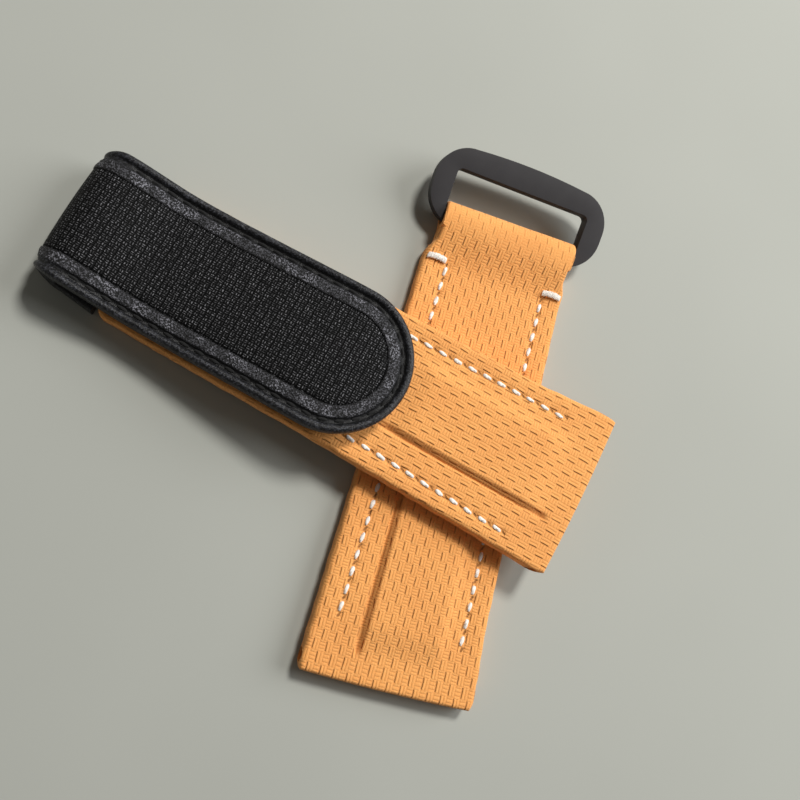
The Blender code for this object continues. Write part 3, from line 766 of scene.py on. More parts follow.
@dataclass(frozen=True)
class Fuzz:
    """Matted yarn: the tapes, the foam and the pressed stiffener."""

    name: str
    face: Colour
    shade: Colour
    scale: float
    depth: float
    roughness: float = 0.95

    def make(self) -> bpy.types.Material:
        """The material, on the piece's own coordinates.

        Returns:
            The new material.
        """
        recipe = Recipe(self.name, self.roughness)
        where = recipe.place()
        knots = recipe.cells(where, self.scale)
        hair = recipe.cloud(where, self.scale * 2.5, 5.0, 0.7)
        height = recipe.less(recipe.total(hair, 0.3), recipe.product(knots, 0.7))
        recipe.set("Base Color", recipe.mix(recipe.soft(height, 0.1, 0.75), self.shade, self.face))
        recipe.set("Sheen Weight", 0.2)
        recipe.relief(height, self.depth)
        return recipe.material


@dataclass(frozen=True)
class Thread:
    """Twisted sewing thread."""

    name: str
    face: Colour
    shade: Colour
    roughness: float = 0.55

    def make(self) -> bpy.types.Material:
        """The material, on the piece's own coordinates.

        Returns:
            The new material.
        """
        recipe = Recipe(self.name, self.roughness)
        hair = recipe.cloud(recipe.stretch(recipe.place(), (7.0, 2.0, 7.0)), 1.0, 3.0, 0.6)
        recipe.set("Base Color", recipe.mix(recipe.soft(hair, 0.3, 0.65), self.shade, self.face))
        recipe.set("Sheen Weight", 0.1)
        recipe.relief(hair, 0.04)
        return recipe.material


@dataclass(frozen=True)
class CoatedMetal:
    """Dark matt coating on steel, in two close shades."""

    face: Colour = tint(54, 52, 54)
    deep: Colour = tint(50, 48, 50)

    def make(self) -> bpy.types.Material:
        """The material, on the piece's own coordinates.

        Returns:
            The new material.
        """
        recipe = Recipe("dark_metal", 0.6)
        where = recipe.place()
        speck = recipe.cloud(where, 9.0, 3.0, 0.6)
        broad = recipe.cloud(where, 0.25, 3.0)
        recipe.set("Base Color", recipe.mix(recipe.soft(broad, 0.35, 0.65), self.deep, self.face))
        recipe.set("Roughness", recipe.soft(speck, 0.3, 0.7, 0.56, 0.66))
        recipe.set("Specular IOR Level", 0.35)
        recipe.relief(speck, 0.012)
        return recipe.material


@dataclass(frozen=True)
class TableTop:
    """Plain pale table."""

    face: Colour = tint(178, 180, 173)
    pale: Colour = tint(181, 183, 176)

    def make(self) -> bpy.types.Material:
        """The material, on the table's own coordinates.

        Returns:
            The new material.
        """
        recipe = Recipe("table_top", 0.9)
        patches = recipe.soft(recipe.cloud(recipe.place(), 0.02, 2.0), 0.3, 0.7)
        recipe.set("Base Color", recipe.mix(patches, self.face, self.pale))
        recipe.set("Specular IOR Level", 0.2)
        return recipe.material


class Finish(Enum):
    """Every finish on the strap, with how it is made and its slot in the record."""

    ORANGE = (OrangeCloth(), Slot.ORANGE_CLOTH)
    NYLON = (BlackNylon(), Slot.BLACK_NYLON)
    EDGE = (EdgeLeather(), Slot.BLACK_LEATHER)
    BACKING = (GrainedLeather("backing_leather", tint(34, 33, 35), tint(18, 18, 19)), Slot.BLACK_LEATHER)
    LINING = (GrainedLeather("dark_lining", tint(58, 55, 53), tint(34, 32, 31), 2.0, 0.7), Slot.DARK_LINING)
    TAPE = (Fuzz("fastening_tape", tint(44, 44, 47), tint(16, 16, 18), 2.8, 0.16), Slot.FASTENING_TAPE)
    FOAM = (Fuzz("foam_padding", tint(140, 141, 144), tint(104, 105, 108), 4.0, 0.05), Slot.FOAM)
    STIFFENER = (Fuzz("pale_stiffener", tint(196, 192, 184), tint(164, 158, 148), 3.0, 0.04), Slot.STIFFENER)
    WHITE_THREAD = (Thread("white_thread", tint(255, 252, 248), tint(236, 228, 218)), Slot.WHITE_THREAD)
    BLACK_THREAD = (Thread("black_thread", tint(13, 13, 14), tint(5, 5, 6), 0.85), Slot.BLACK_NYLON)
    METAL = (CoatedMetal(), Slot.DARK_METAL)

    def material(self) -> bpy.types.Material:
        """The finish's material, made the first time that it is asked for.

        Returns:
            The material that every piece of this finish shares.
        """
        if self not in _MADE:
            _MADE[self] = self.value[0].make()
        return _MADE[self]


_MADE: dict[Finish, bpy.types.Material] = {}


# Placing pieces


@dataclass(frozen=True)
class Ground:
    """Where a half lies in the row frame: its lug end, and its turn about Z."""

    x: float
    y: float
    turn: float = 0.0

    def matrix(self) -> Matrix:
        """From the half's own millimetres to the row frame's metres."""
        return (Matrix.Translation((self.x * MM, self.y * MM, 0.0))
                @ Matrix.Rotation(math.radians(self.turn), 4, "Z") @ Matrix.Scale(MM, 4))


@dataclass
class Workshop:
    """Turns finished meshes into pieces that ride on the frame's bodies."""

    made: list[bpy.types.Object] = field(default_factory=list)

    def piece(self, name: str, bm: bmesh.types.BMesh, ground: Ground, finish: Finish, body: str | None,
              replaces: Sequence[str] = (), sharp: float = 45.0) -> bpy.types.Object:
        """Place a mesh in the row frame and dress it.

        Args:
            name: The piece's name.
            bm: Its mesh in the half's own millimetres. It is freed.
            ground: Where the half lies.
            finish: What it is made of.
            body: The body that it rides on, or none to leave it unattached.
            replaces: The CAD nodes that it stands for.
            sharp: The angle in degrees past which an edge shows.

        Returns:
            The new object.
        """
        bmesh.ops.recalc_face_normals(bm, faces=bm.faces)
        for face in bm.faces:
            face.smooth = True
        mesh = to_mesh(name, bm)
        mesh.transform(ground.matrix())
        mesh.set_sharp_from_angle(angle=math.radians(sharp))
        mesh.materials.append(finish.material())
        obj = into_scene(name, mesh)
        if replaces:
            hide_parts(*replaces)
        if body:
            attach(obj, body)
        self.made.append(obj)
        LOG.info("%s: %d faces, on %s", name, len(mesh.polygons), body or "two bodies")
        return obj

    def dress_node(self, node: str, finish: Finish) -> None:
        """Give a CAD node that keeps its shape a better material.

        Args:
            node: The node's name.
            finish: What it is made of.
        """
        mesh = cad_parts[node].data
        mesh.materials.clear()
        mesh.materials.append(finish.material())
        LOG.info("%s keeps its CAD shape as %s", node, finish.name.lower())


# The strap's form


@dataclass(frozen=True)
class StrapForm:
    """The forms that both halves share: thickness, padding, tapers and drape."""

    short_length: float = 65.8
    long_length: float = 68.8
    lug_width: float = 24.0
    ring_end_width: float = 21.9
    loop_width: float = 20.4
    long_end_width: float = 18.8
    lug_thickness: float = 3.0
    thinned_length: float = 45.0
    thickness: float = 2.3
    cloth: float = 0.65
    hem: float = 2.6
    padding_low: float = 1.15
    padding_top: float = 1.55
    cavity_top: float = 1.65
    pad_width: float = 10.0
    pad_slope: float = 0.5
    pad_gentle_slope: float = 2.6
    pad_end_slope: float = 4.5
    slope_shares: tuple[float, ...] = (0.0, 0.33, 0.67, 1.0)
    pad_rise: float = 0.6
    pad_start: float = 3.3
    pad_length: float = 26.5
    channel_y: float = 1.55
    channel_radius: float = 0.9
    cavity_start: float = 3.1
    neck_foot: float = 57.575
    neck_start: float = 59.375
    neck_end: float = 63.575
    shoulder_start: float = 59.9
    shoulder_end: float = 61.9
    loop_radius: float = 2.225
    bore_radius: float = 1.575
    crossing_y: float = 19.5
    crossing_end: float = 34.0
    drape_end: float = 65.8
    seat: float = 0.2

    def thickness_share(self, y: float) -> float:
        """How much thicker the strap is here than at its far end."""
        return between(self.lug_thickness, self.thickness, ramp(y, 0.0, self.thinned_length)) / self.thickness

    def padded(self, x: float, y: float) -> float:
        """Height of the raised padding at one point of the flat strap.

        Args:
            x: Across the strap.
            y: Along it.

        Returns:
            The height that the padding adds.
        """
        slope = self.pad_slope if x < 0.0 else self.pad_gentle_slope
        side = 1.0 - ramp(abs(x), self.pad_width / 2, self.pad_width / 2 + slope)
        near = ramp(y, self.pad_start, self.pad_start + self.pad_end_slope)
        stop = self.pad_start + self.pad_length
        far = 1.0 - ramp(y, stop - self.pad_end_slope, stop)
        return self.pad_rise * eased(side) * eased(min(near, far))

    def lift(self) -> float:
        """How high the long half's underside lies over the short half."""
        return self.thickness * self.thickness_share(self.crossing_y) + self.pad_rise + self.seat

    def drape(self, y: float) -> float:
        """Height of the long half's underside above the table."""
        return self.lift() * (1.0 - eased(ramp(y, self.crossing_end, self.drape_end)))

    def short_half_width(self, y: float) -> float:
        """Half of the short half's width."""
        width = between(self.lug_width, self.ring_end_width, ramp(y, 0.0, self.neck_start))
        return between(width, self.loop_width, eased(ramp(y, self.shoulder_start, self.shoulder_end))) / 2

    def long_half_width(self, y: float) -> float:
        """Half of the long half's width."""
        return between(self.lug_width, self.long_end_width, ramp(y, 0.0, self.long_length)) / 2

    def raised(self, point: Vector) -> float:
        """A flat strap point's height once thickness and padding are in."""
        x, y, z = point
        return (z * self.thickness_share(y)
                + self.padded(x, y) * ramp(z, self.padding_low, self.padding_top))

    def neck_rise(self, y: float, z: float) -> float:
        """How far the neck's slope lifts one point of the flat strap or of the roll.

        Args:
            y: Along the half.
            z: The point's flat height.

        Returns:
            The height to add.
        """
        share = eased(ramp(y, self.neck_foot, self.short_length))
        height = between(self.thickness, 2 * self.loop_radius, share)
        if y <= self.neck_end + WELD:
            return (height - self.thickness) * ramp(z, self.cavity_top, self.thickness)
        upper = y < self.short_length and z > self.loop_radius
        return max(height - z, 0.0) if upper and self.outside_bore(y, z) else 0.0

    def outside_bore(self, y: float, z: float) -> bool:
        """Whether a point of the loop is on its outer face, and not on its bore."""
        reach = math.hypot(y - self.short_length, z - self.loop_radius)
        return reach > (self.bore_radius + self.loop_radius) / 2

    def bend_short(self, point: Vector) -> Vector:
        """Bend, pad and taper one point of the flat short half."""
        x, y, z = point
        return Vector((x * self.short_half_width(y) / (self.lug_width / 2), y,
                       self.raised(point) + self.neck_rise(y, z)))

    def bend_long(self, point: Vector) -> Vector:
        """Bend, pad, taper and drape one point of the flat long half."""
        x, y, z = point
        return Vector((x * self.long_half_width(y) / (self.lug_width / 2), y,
                       self.raised(point) + self.drape(y)))

    def stations(self, length: float) -> list[float]:
        """Where even the inner faces are divided along a half.

        Args:
            length: The half's length.

        Returns:
            Places along the half.
        """
        stop = self.pad_start + self.pad_length
        places = [start + self.pad_end_slope * share for start in (self.pad_start, stop - self.pad_end_slope)
                  for share in self.slope_shares]
        places += [self.thinned_length] + steps(self.crossing_end, self.drape_end, 3.2)
        return [y for y in places if y < length]

    def lines(self) -> list[float]:
        """Where even the inner faces are divided across a half."""
        slopes = ((-1, self.pad_slope), (1, self.pad_gentle_slope))
        return [side * (self.pad_width / 2 + slope * share) for side, slope in slopes
                for share in self.slope_shares]


@dataclass(frozen=True)
class Seam:
    """A row of stitches along one side of a half."""

    corners: tuple[Pair, ...]
    last: float
    pitch: float = 2.33
    stitch: float = 1.38
    width: float = 0.6

    @property
    def first(self) -> float:
        """Where the row starts along the half."""
        return self.corners[0][0]

    def across(self, y: float) -> float:
        """Where the row is across the half.

        Args:
            y: Along the half.

        Returns:
            The place across, on the straight runs between the row's corners.
        """
        start, stop = self.corners[0], self.corners[1]
        for nearer, farther in zip(self.corners, self.corners[1:]):
            if y > nearer[0]:
                start, stop = nearer, farther
        return between(start[1], stop[1], (y - start[0]) / (stop[0] - start[0]))

    def turn(self, y: float) -> float:
        """Count of stitches up to this place."""
        return (y - self.first) / self.pitch

    def starts(self) -> list[float]:
        """Where each stitch starts along the half."""
        count = int((self.last - self.first + self.pitch - self.stitch) / self.pitch + 0.001)
        return [self.first + self.pitch * index for index in range(count)]


class Stitching:
    """Makes stitches as plump, slightly twisted bars of thread."""

    def __init__(self, seed: int) -> None:
        """Start with a fixed unevenness."""
        self.dice = random.Random(seed)

    def add(self, bm: bmesh.types.BMesh, start: Vector, stop: Vector, width: float, height: float,
            up: Vector = Vector((0.0, 0.0, 1.0)), rings: int = 8, facets: int = 8) -> None:
        """Add one stitch between two needle holes.

        Args:
            bm: The mesh that it is added to.
            start: The first needle hole.
            stop: The second needle hole.
            width: How wide the thread lies.
            height: How far it stands up, from its middle.
            up: Away from the surface.
            rings: Divisions along the thread.
            facets: Divisions round the thread.
        """
        along = stop - start
        side = along.cross(up).normalized()
        rise = side.cross(along).normalized()
        length, middle = along.length, (start + stop) / 2
        along.normalize()
        phase = self.dice.uniform(0.0, math.pi)
        made = bmesh.ops.create_uvsphere(bm, u_segments=facets, v_segments=rings, radius=1.0)
        for vert in made["verts"]:
            x, y, z = vert.co
            reach = math.hypot(x, y)
            fuller = reach ** 0.7 if reach > 1e-6 else 0.0
            angle = math.atan2(y, x)
            ply = 1.0 + 0.13 * math.cos(2 * (angle - z * 1.9) + phase)
            across = math.cos(angle) * fuller * ply * width / 2
            lifted = math.sin(angle) * fuller * ply * height
            vert.co = middle + along * (z * length / 2) + side * across + rise * lifted


# The two halves


@dataclass
class StrapHalf:
    """What both halves have: a cloth cover, a lining, stitches and layers."""

    form: StrapForm
    ground: Ground
    body: str
    prefix: str
    length: float
    seams: tuple[Seam, Seam]
    seed: float
    flare: float
    slant: float
    crease_start: float = 2.7
    crease_end: Pair = (28.0, 31.0)
    bulge: float = 0.6
    corner_round: float = 0.38
    unsewn: float = 9.0

    def bend(self, point: Vector) -> Vector:
        """Take one flat point to its place in the half."""
        raise NotImplementedError

    def half_width(self, y: float) -> float:
        """Half of the width at this place."""
        raise NotImplementedError

    def nearest(self, x: float) -> Seam:
        """The seam on this side of the middle."""
        return self.seams[0] if x < 0 else self.seams[1]

    def surface(self, x: float, y: float) -> float:
        """Height of the cover's top.

        Args:
            x: Across the half, in its own frame.
            y: Along the half.

        Returns:
            The height above the table.
        """
        flat = x * (self.form.lug_width / 2) / self.half_width(y)
        return self.bend(Vector((flat, y, self.form.thickness))).z + self.unevenness(x, y)

    def unevenness(self, x: float, y: float) -> float:
        """What sewing and handling add to the cover's top.

        Args:
            x: Across the half, in its own frame.
            y: Along the half.

        Returns:
            A height to add, in millimetres.
        """
        seam = self.nearest(x)
        off, turn = x - seam.across(y), seam.turn(y)
        sewn = plateau(y, (seam.first - 1.2, seam.first), (seam.last, seam.last + 1.2))
        dip = 0.10 * hump(off, 0.7) + 0.05 * hump(off, 1.5)
        pucker = 0.035 * math.cos(2 * math.pi * (turn - 0.3)) * hump(off, 1.4)
        edge = self.half_width(y) - abs(x)
        roll = 0.05 * hump(edge - 1.3, 1.1)
        wave = 0.09 * wander(x, y, 7.0, self.seed) + 0.03 * wander(x, y, 2.1, self.seed + 5)
        return sewn * (pucker - dip + roll) + wave * ramp(edge, 0.0, 1.5) - self.crease(x, y)

    def crease(self, x: float, y: float) -> float:
        """Depth of the crease that is pressed in beside the padding's left side.

        Args:
            x: Across the half, in its own frame.
            y: Along the half.

        Returns:
            How deep it is here.
        """
        if x > 0.0:
            return 0.0
        ends = eased(plateau(y, (self.crease_start, self.crease_start + 1.4), self.crease_end))
        off = -x - self.form.pad_width / 2 * self.width_share(y)
        return 0.5 * ends * eased(ramp(off, -0.75, 0.1)) * (1.0 - eased(ramp(off, 0.1, 0.7)))

    def shade_place(self, point: Vector, normal: Vector) -> Pair:
        """How much painted shade darkens the cloth in the pressed crease.

        Args:
            point: A flat point of the cover.
            normal: The way that its face looks.

        Returns:
            The darkness, and nothing.
        """
        off = -point.x - self.form.pad_width / 2
        ends = plateau(point.y, (self.crease_start, self.crease_start + 1.2), self.crease_end)
        return ends * hump(off + 0.1, 0.66) * ramp(normal.z, 0.5, 0.6), 0.0

    def shaped(self, point: Vector) -> Vector:
        """Bend one point of the cover, with its unevenness and soft sides.

        Args:
            point: A flat point.

        Returns:
            Its place in the half.
        """
        form = self.form
        bent = self.bend(point)
        side = point.x / (form.lug_width / 2)
        bent.z += self.unevenness(bent.x, bent.y) * ramp(point.z, form.padding_top, form.thickness - 0.2)
        outer = ramp(abs(point.x), form.lug_width / 2 - 1.0, form.lug_width / 2)
        bent.x += math.copysign(0.16 * wander(bent.y, self.seed, 3.1, 9.0) * outer, point.x)
        bent.x += self.flare * max(side, 0.0) * eased(1.0 - ramp(point.y, 0.0, 13.0))
        bowed = self.bulge * (1.0 - 0.4 * side ** 2)
        bent.y -= (bowed + self.slant * side) * eased(1.0 - ramp(point.y, 0.0, 3.0))
        corner = outer * (1.0 - ramp(point.y, 0.0, 1.3)) ** 2
        bent.x -= math.copysign(self.corner_round * corner, point.x)
        return bent

    def cloth_place(self, point: Vector, normal: Vector) -> Pair:
        """Where the weave is at a point: it wraps over the edges from the top.

        Args:
            point: A flat point of the cover.
            normal: The way that its face looks.

        Returns:
            Across and along the cloth.
        """
        form = self.form
        fall = form.thickness - point.z
        if abs(normal.z) > 0.6:
            return self.width_share(point.y) * point.x, point.y
        if abs(normal.x) > abs(normal.y):
            return math.copysign(form.lug_width / 2 + fall, point.x) * self.width_share(point.y), point.y
        return self.width_share(point.y) * point.x, point.y + math.copysign(fall, normal.y)

    def width_share(self, y: float) -> float:
        """The half's width here as a share of its width at the lugs."""
        return self.half_width(y) / (self.form.lug_width / 2)

    def seam_place(self, point: Vector, normal: Vector) -> Pair:
        """Where a point is from the nearest seam.

        Args:
            point: A flat point of the cover.
            normal: The way that its face looks.

        Returns:
            The distance across, far off where nothing is sewn, and the count of stitches up to here.
        """
        if normal.z < 0.5:
            return self.unsewn, 0.5
        x = point.x * self.width_share(point.y)
        seam = self.nearest(x)
        off = x - seam.across(point.y) if point.y < seam.last + 0.5 else self.unsewn
        return off, seam.turn(point.y)

    def across_lines(self) -> list[float]:
        """Where the cover's outer faces are divided across.

        Returns:
            Places across: close at the crease and the seams, wider elsewhere.
        """
        crease = [-x for x in steps(4.05, 6.05, 0.13)] + steps(4.6, 6.05, 0.29)
        seams = both_sides(steps(8.1, 10.3, 0.2))
        borders = both_sides(steps(10.5, self.form.lug_width / 2 - 0.7, 0.35))
        rest = steps(-4.2, 4.2, 0.6) + both_sides(steps(6.3, 7.8, 0.5))
        return sorted({*crease, *seams, *borders, *rest})

    def finish_cover(self, bm: bmesh.types.BMesh, stop: float) -> bmesh.types.BMesh:
        """Divide the flat cover finely, map it and bend it.

        Args:
            bm: The flat cover.
            stop: How far along its outer faces are divided.

        Returns:
            The same bmesh, bent.
        """
        form = self.form
        divide(bm, 1, form.stations(self.length))
        divide(bm, 0, form.lines())
        bm.normal_update()

        def outer(face: Any) -> bool:
            """Whether a face shows from above or from the side.

            Args:
                face: A face of the flat cover.

            Returns:
                True when it shows.
            """
            middle = face.calc_center_median()
            beside = middle.z > 0.05 and abs(middle.x) > form.lug_width / 2 - 0.3
            return middle.z > form.cavity_top + 0.1 or beside

        faces = divide(bm, 1, steps(0.5, stop, 0.38), [face for face in bm.faces if outer(face)])
        divide(bm, 0, self.across_lines(), faces)
        bm.normal_update()
        paint_map(bm, "cloth", self.cloth_place)
        paint_map(bm, "seam", self.seam_place)
        paint_map(bm, "crease", self.shade_place)
        move_points(bm, self.shaped)
        split_large_faces(bm)
        return bm

    def build_lining(self, shop: Workshop, stop: float) -> None:
        """The lining in the cover's window, with the underside of the seams.

        Args:
            shop: Where pieces are made.
            stop: Where the lining ends.
        """
        form, gap, rounding = self.form, 0.1, 0.12
        half = form.lug_width / 2 - form.hem - gap
        bm = slab((-half, form.cavity_start + gap, 0.0), (half, stop - gap, form.cloth))
        round_edges(bm, rounding, lambda middle, along: middle.z < WELD, 2)
        round_edges(bm, rounding, upright, 2)
        divide(bm, 1, steps(form.cavity_start + 0.6, stop - 0.6, 0.6))
        divide(bm, 0, both_sides(steps(7.9, half - 0.15, 0.2)) + steps(-7, 7, 1.0))

        def sewn(flat: Vector) -> Vector:
            """Bend a point, and press the seams' grooves into the underside.

            Args:
                flat: The flat point.

            Returns:
                Its place in the half.
            """
            bent = self.bend(flat)
            if flat.z < 0.2:
                bent.z += 0.16 * hump(bent.x - self.nearest(bent.x).across(flat.y), 0.5)
            return bent

        move_points(bm, sewn)
        shop.piece(self.prefix + "_lining_leather", bm, self.ground, Finish.LINING, self.body,
                   [self.prefix + "_lining"])

    def build_stitches(self, shop: Workshop, underside_stop: float) -> None:
        """The two rows of stitches, above and below.

        Args:
            shop: Where pieces are made.
            underside_stop: How far along the lower rows go.
        """
        sewing = Stitching(int(self.seed * 10) + 3)
        for side, seam in zip(("left", "right"), self.seams):
            top, below = bmesh.new(), bmesh.new()
            for start in seam.starts():
                stop = start + seam.stitch
                self.sew_above(top, sewing, seam, start, stop)
                if start > self.form.cavity_start + 1 and stop < underside_stop - 1:
                    holes = [Vector((seam.across(y), y, self.bend(Vector((0.0, y, 0.0))).z + 0.17))
                             for y in (start + 0.3, stop + 0.3)]
                    sewing.add(below, *holes, 0.36, 0.15, Vector((0.0, 0.0, -1.0)), 6, 6)
            for name, bm, finish in (("", top, Finish.WHITE_THREAD), ("_under", below, Finish.BLACK_THREAD)):
                shop.piece(f"{self.prefix}{name}_stitches_{side}", bm, self.ground, finish, self.body)

    def sew_above(self, bm: bmesh.types.BMesh, sewing: Stitching, seam: Seam, start: float,
                  stop: float) -> None:
        """Lay one slightly uneven stitch on the cover.

        Args:
            bm: The mesh that it is added to.
            sewing: The thread, with its unevenness.
            seam: The row that it belongs to.
            start: Where it starts along the half.
            stop: Where it stops.
        """
        holes = []
        for y, lean in ((start, -0.08), (stop, 0.08)):
            x = seam.across(y) + lean + sewing.dice.uniform(-0.05, 0.05)
            place = y + sewing.dice.uniform(-0.06, 0.06)
            holes.append(Vector((x, place, self.surface(x, place) + 0.05)))
        sewing.add(bm, *holes, seam.width * sewing.dice.uniform(0.92, 1.08), 0.27)

    def blank(self, far_end_shows: bool) -> bmesh.types.BMesh:
        """The cover's outer form: a flat slab with turned, rounded edges.

        Args:
            far_end_shows: Whether the far end is rounded too, or goes on into the loop.

        Returns:
            A new bmesh that holds it.
        """
        form, length = self.form, self.length
        half = form.lug_width / 2

        def turned(middle: Vector, along: Vector) -> bool:
            """Whether an edge is rounded, wherever it lies in height."""
            return far_end_shows or not (abs(along.x) > 0.9 and middle.y > length - WELD)

        bm = slab((-half, 0.0, 0.0), (half, length, form.thickness))
        if far_end_shows:
            round_edges(bm, 1.4, lambda middle, along: upright(middle, along) and middle.y > length / 2, 6)
        round_edges(bm, 0.6, lambda middle, along: middle.z > form.thickness - WELD
                    and turned(middle, along), 5)
        round_edges(bm, 0.3, lambda middle, along: middle.z < WELD and abs(along.z) < 0.1
                    and turned(middle, along), 2)
        return bm

    def hollow(self, bm: bmesh.types.BMesh, cavity_end: float, window_end: float) -> bmesh.types.BMesh:
        """Cut the room for the layers, the lining's window and the spring bar's channel.

        Args:
            bm: The cover's outer form.
            cavity_end: Where the room for the layers ends.
            window_end: Where the lining's window ends.

        Returns:
            The hollow cover.
        """
        form = self.form
        inner, opening = form.lug_width / 2 - form.cloth, form.lug_width / 2 - form.hem
        bm = carve(bm, slab((-inner, form.cavity_start, form.cloth), (inner, cavity_end, form.cavity_top)))
        bm = carve(bm, slab((-opening, form.cavity_start, -1.0), (opening, window_end, 1.15)))
        channel = drum(form.channel_radius, form.lug_width + 1.0, form.channel_y, form.thickness / 2, 32)
        return carve(bm, channel)


@dataclass
class ShortHalf(StrapHalf):
    """The short half, whose sewn loop holds the ring."""

    tack_places: Pair = (59.05, 59.45)
    tack_length: float = 2.9
    tack_width: float = 0.95
    askew: float = 0.35

    def bend(self, point: Vector) -> Vector:
        """Take one flat point to its place in the short half."""
        return self.form.bend_short(point)

    def cloth_place(self, point: Vector, normal: Vector) -> Pair:
        """Where the weave is at a point: it runs up the neck and round the roll.

        Args:
            point: A flat point of the cover.
            normal: The way that its face looks.

        Returns:
            Across and along the cloth.
        """
        form = self.form
        under_roll = point.y < form.short_length and point.z < form.loop_radius
        if point.y < form.neck_end - WELD or abs(normal.x) > 0.6 or under_roll:
            return super().cloth_place(point, normal)
        turn = max(math.atan2(point.y - form.short_length, point.z - form.loop_radius), 0.0)
        return self.width_share(point.y) * point.x, min(point.y, form.short_length) + turn * form.loop_radius

    def shaped(self, point: Vector) -> Vector:
        """Bend one point of the cover, and let its loop sit a little askew on the ring.

        Args:
            point: A flat point.

        Returns:
            Its place in the half.
        """
        form = self.form
        bent = super().shaped(point)
        bent.x += self.askew * eased(ramp(point.y, form.neck_foot, form.neck_end + 1.0))
        if form.outside_bore(point.y, point.z):
            bent.y += self.askew * (0.3 + 0.7 * point.x / (form.lug_width / 2)) * ramp(
                point.y, form.neck_end, form.short_length + 1.0)
        else:
            bent.z = self.bend(point).z
        return bent

    def half_width(self, y: float) -> float:
        """Half of the short half's width."""
        return self.form.short_half_width(y)

    def build(self, shop: Workshop) -> None:
        """Make every piece of the short half.

        Args:
            shop: Where pieces are made.
        """
        form = self.form
        roll = drum(form.loop_radius, form.lug_width, form.short_length, form.loop_radius)
        round_edges(roll, 0.3, lambda middle, along: abs(middle.x) > form.lug_width / 2 - WELD, 3)
        bm = carve(self.blank(far_end_shows=False), roll, "UNION")
        bm = self.hollow(bm, form.neck_foot, form.neck_foot)
        bm = carve(bm, drum(form.bore_radius, form.lug_width + 1.0, form.short_length, form.loop_radius))
        divide(bm, 1, steps(form.neck_foot, form.short_length - 0.3, 0.55))
        bm = self.finish_cover(bm, form.short_length + 1.6)
        cover = shop.piece("short_cloth_cover", bm, self.ground, Finish.ORANGE, self.body,
                           ["short_outer_cloth"], 50.0)
        self.build_lining(shop, form.neck_foot)
        self.build_stitches(shop, form.neck_foot)
        self.build_tacks(shop)
        shop.dress_node("short_reinforcement", Finish.STIFFENER)
        shop.dress_node("short_padding", Finish.FOAM)

    def build_tacks(self, shop: Workshop) -> None:
        """The two bar tacks: short threads laid close, side by side.

        Args:
            shop: Where pieces are made.
        """
        for side, name, y in ((-1, "left", self.tack_places[0]), (1, "right", self.tack_places[1])):
            sewing = Stitching(41 + side)
            bm = bmesh.new()
            outer = side * (self.half_width(y) - 0.45)
            inner = outer - side * self.tack_length
            low, high = min(inner, outer), max(inner, outer)
            for index, x in enumerate(steps(low + 0.12, high - 0.12, 0.175)):
                reach = self.tack_width / 2 + sewing.dice.uniform(-0.04, 0.06)
                tilt = 0.07 + sewing.dice.uniform(-0.03, 0.03)
                along = (x - low) / (high - low)
                height = self.surface(x, y) + 0.14 + 0.12 * math.sin(along * math.pi)
                bow = 0.16 * math.sin(along * math.pi)
                start = Vector((x - tilt, y - reach + bow, height))
                stop = Vector((x + tilt, y + reach + bow, height))
                sewing.add(bm, start, stop, 0.29, 0.27 + 0.02 * (index % 2))
            shop.piece(f"tack_threads_{name}", bm, self.ground, Finish.WHITE_THREAD, self.body,
                       [f"bar_tack_{name}"])


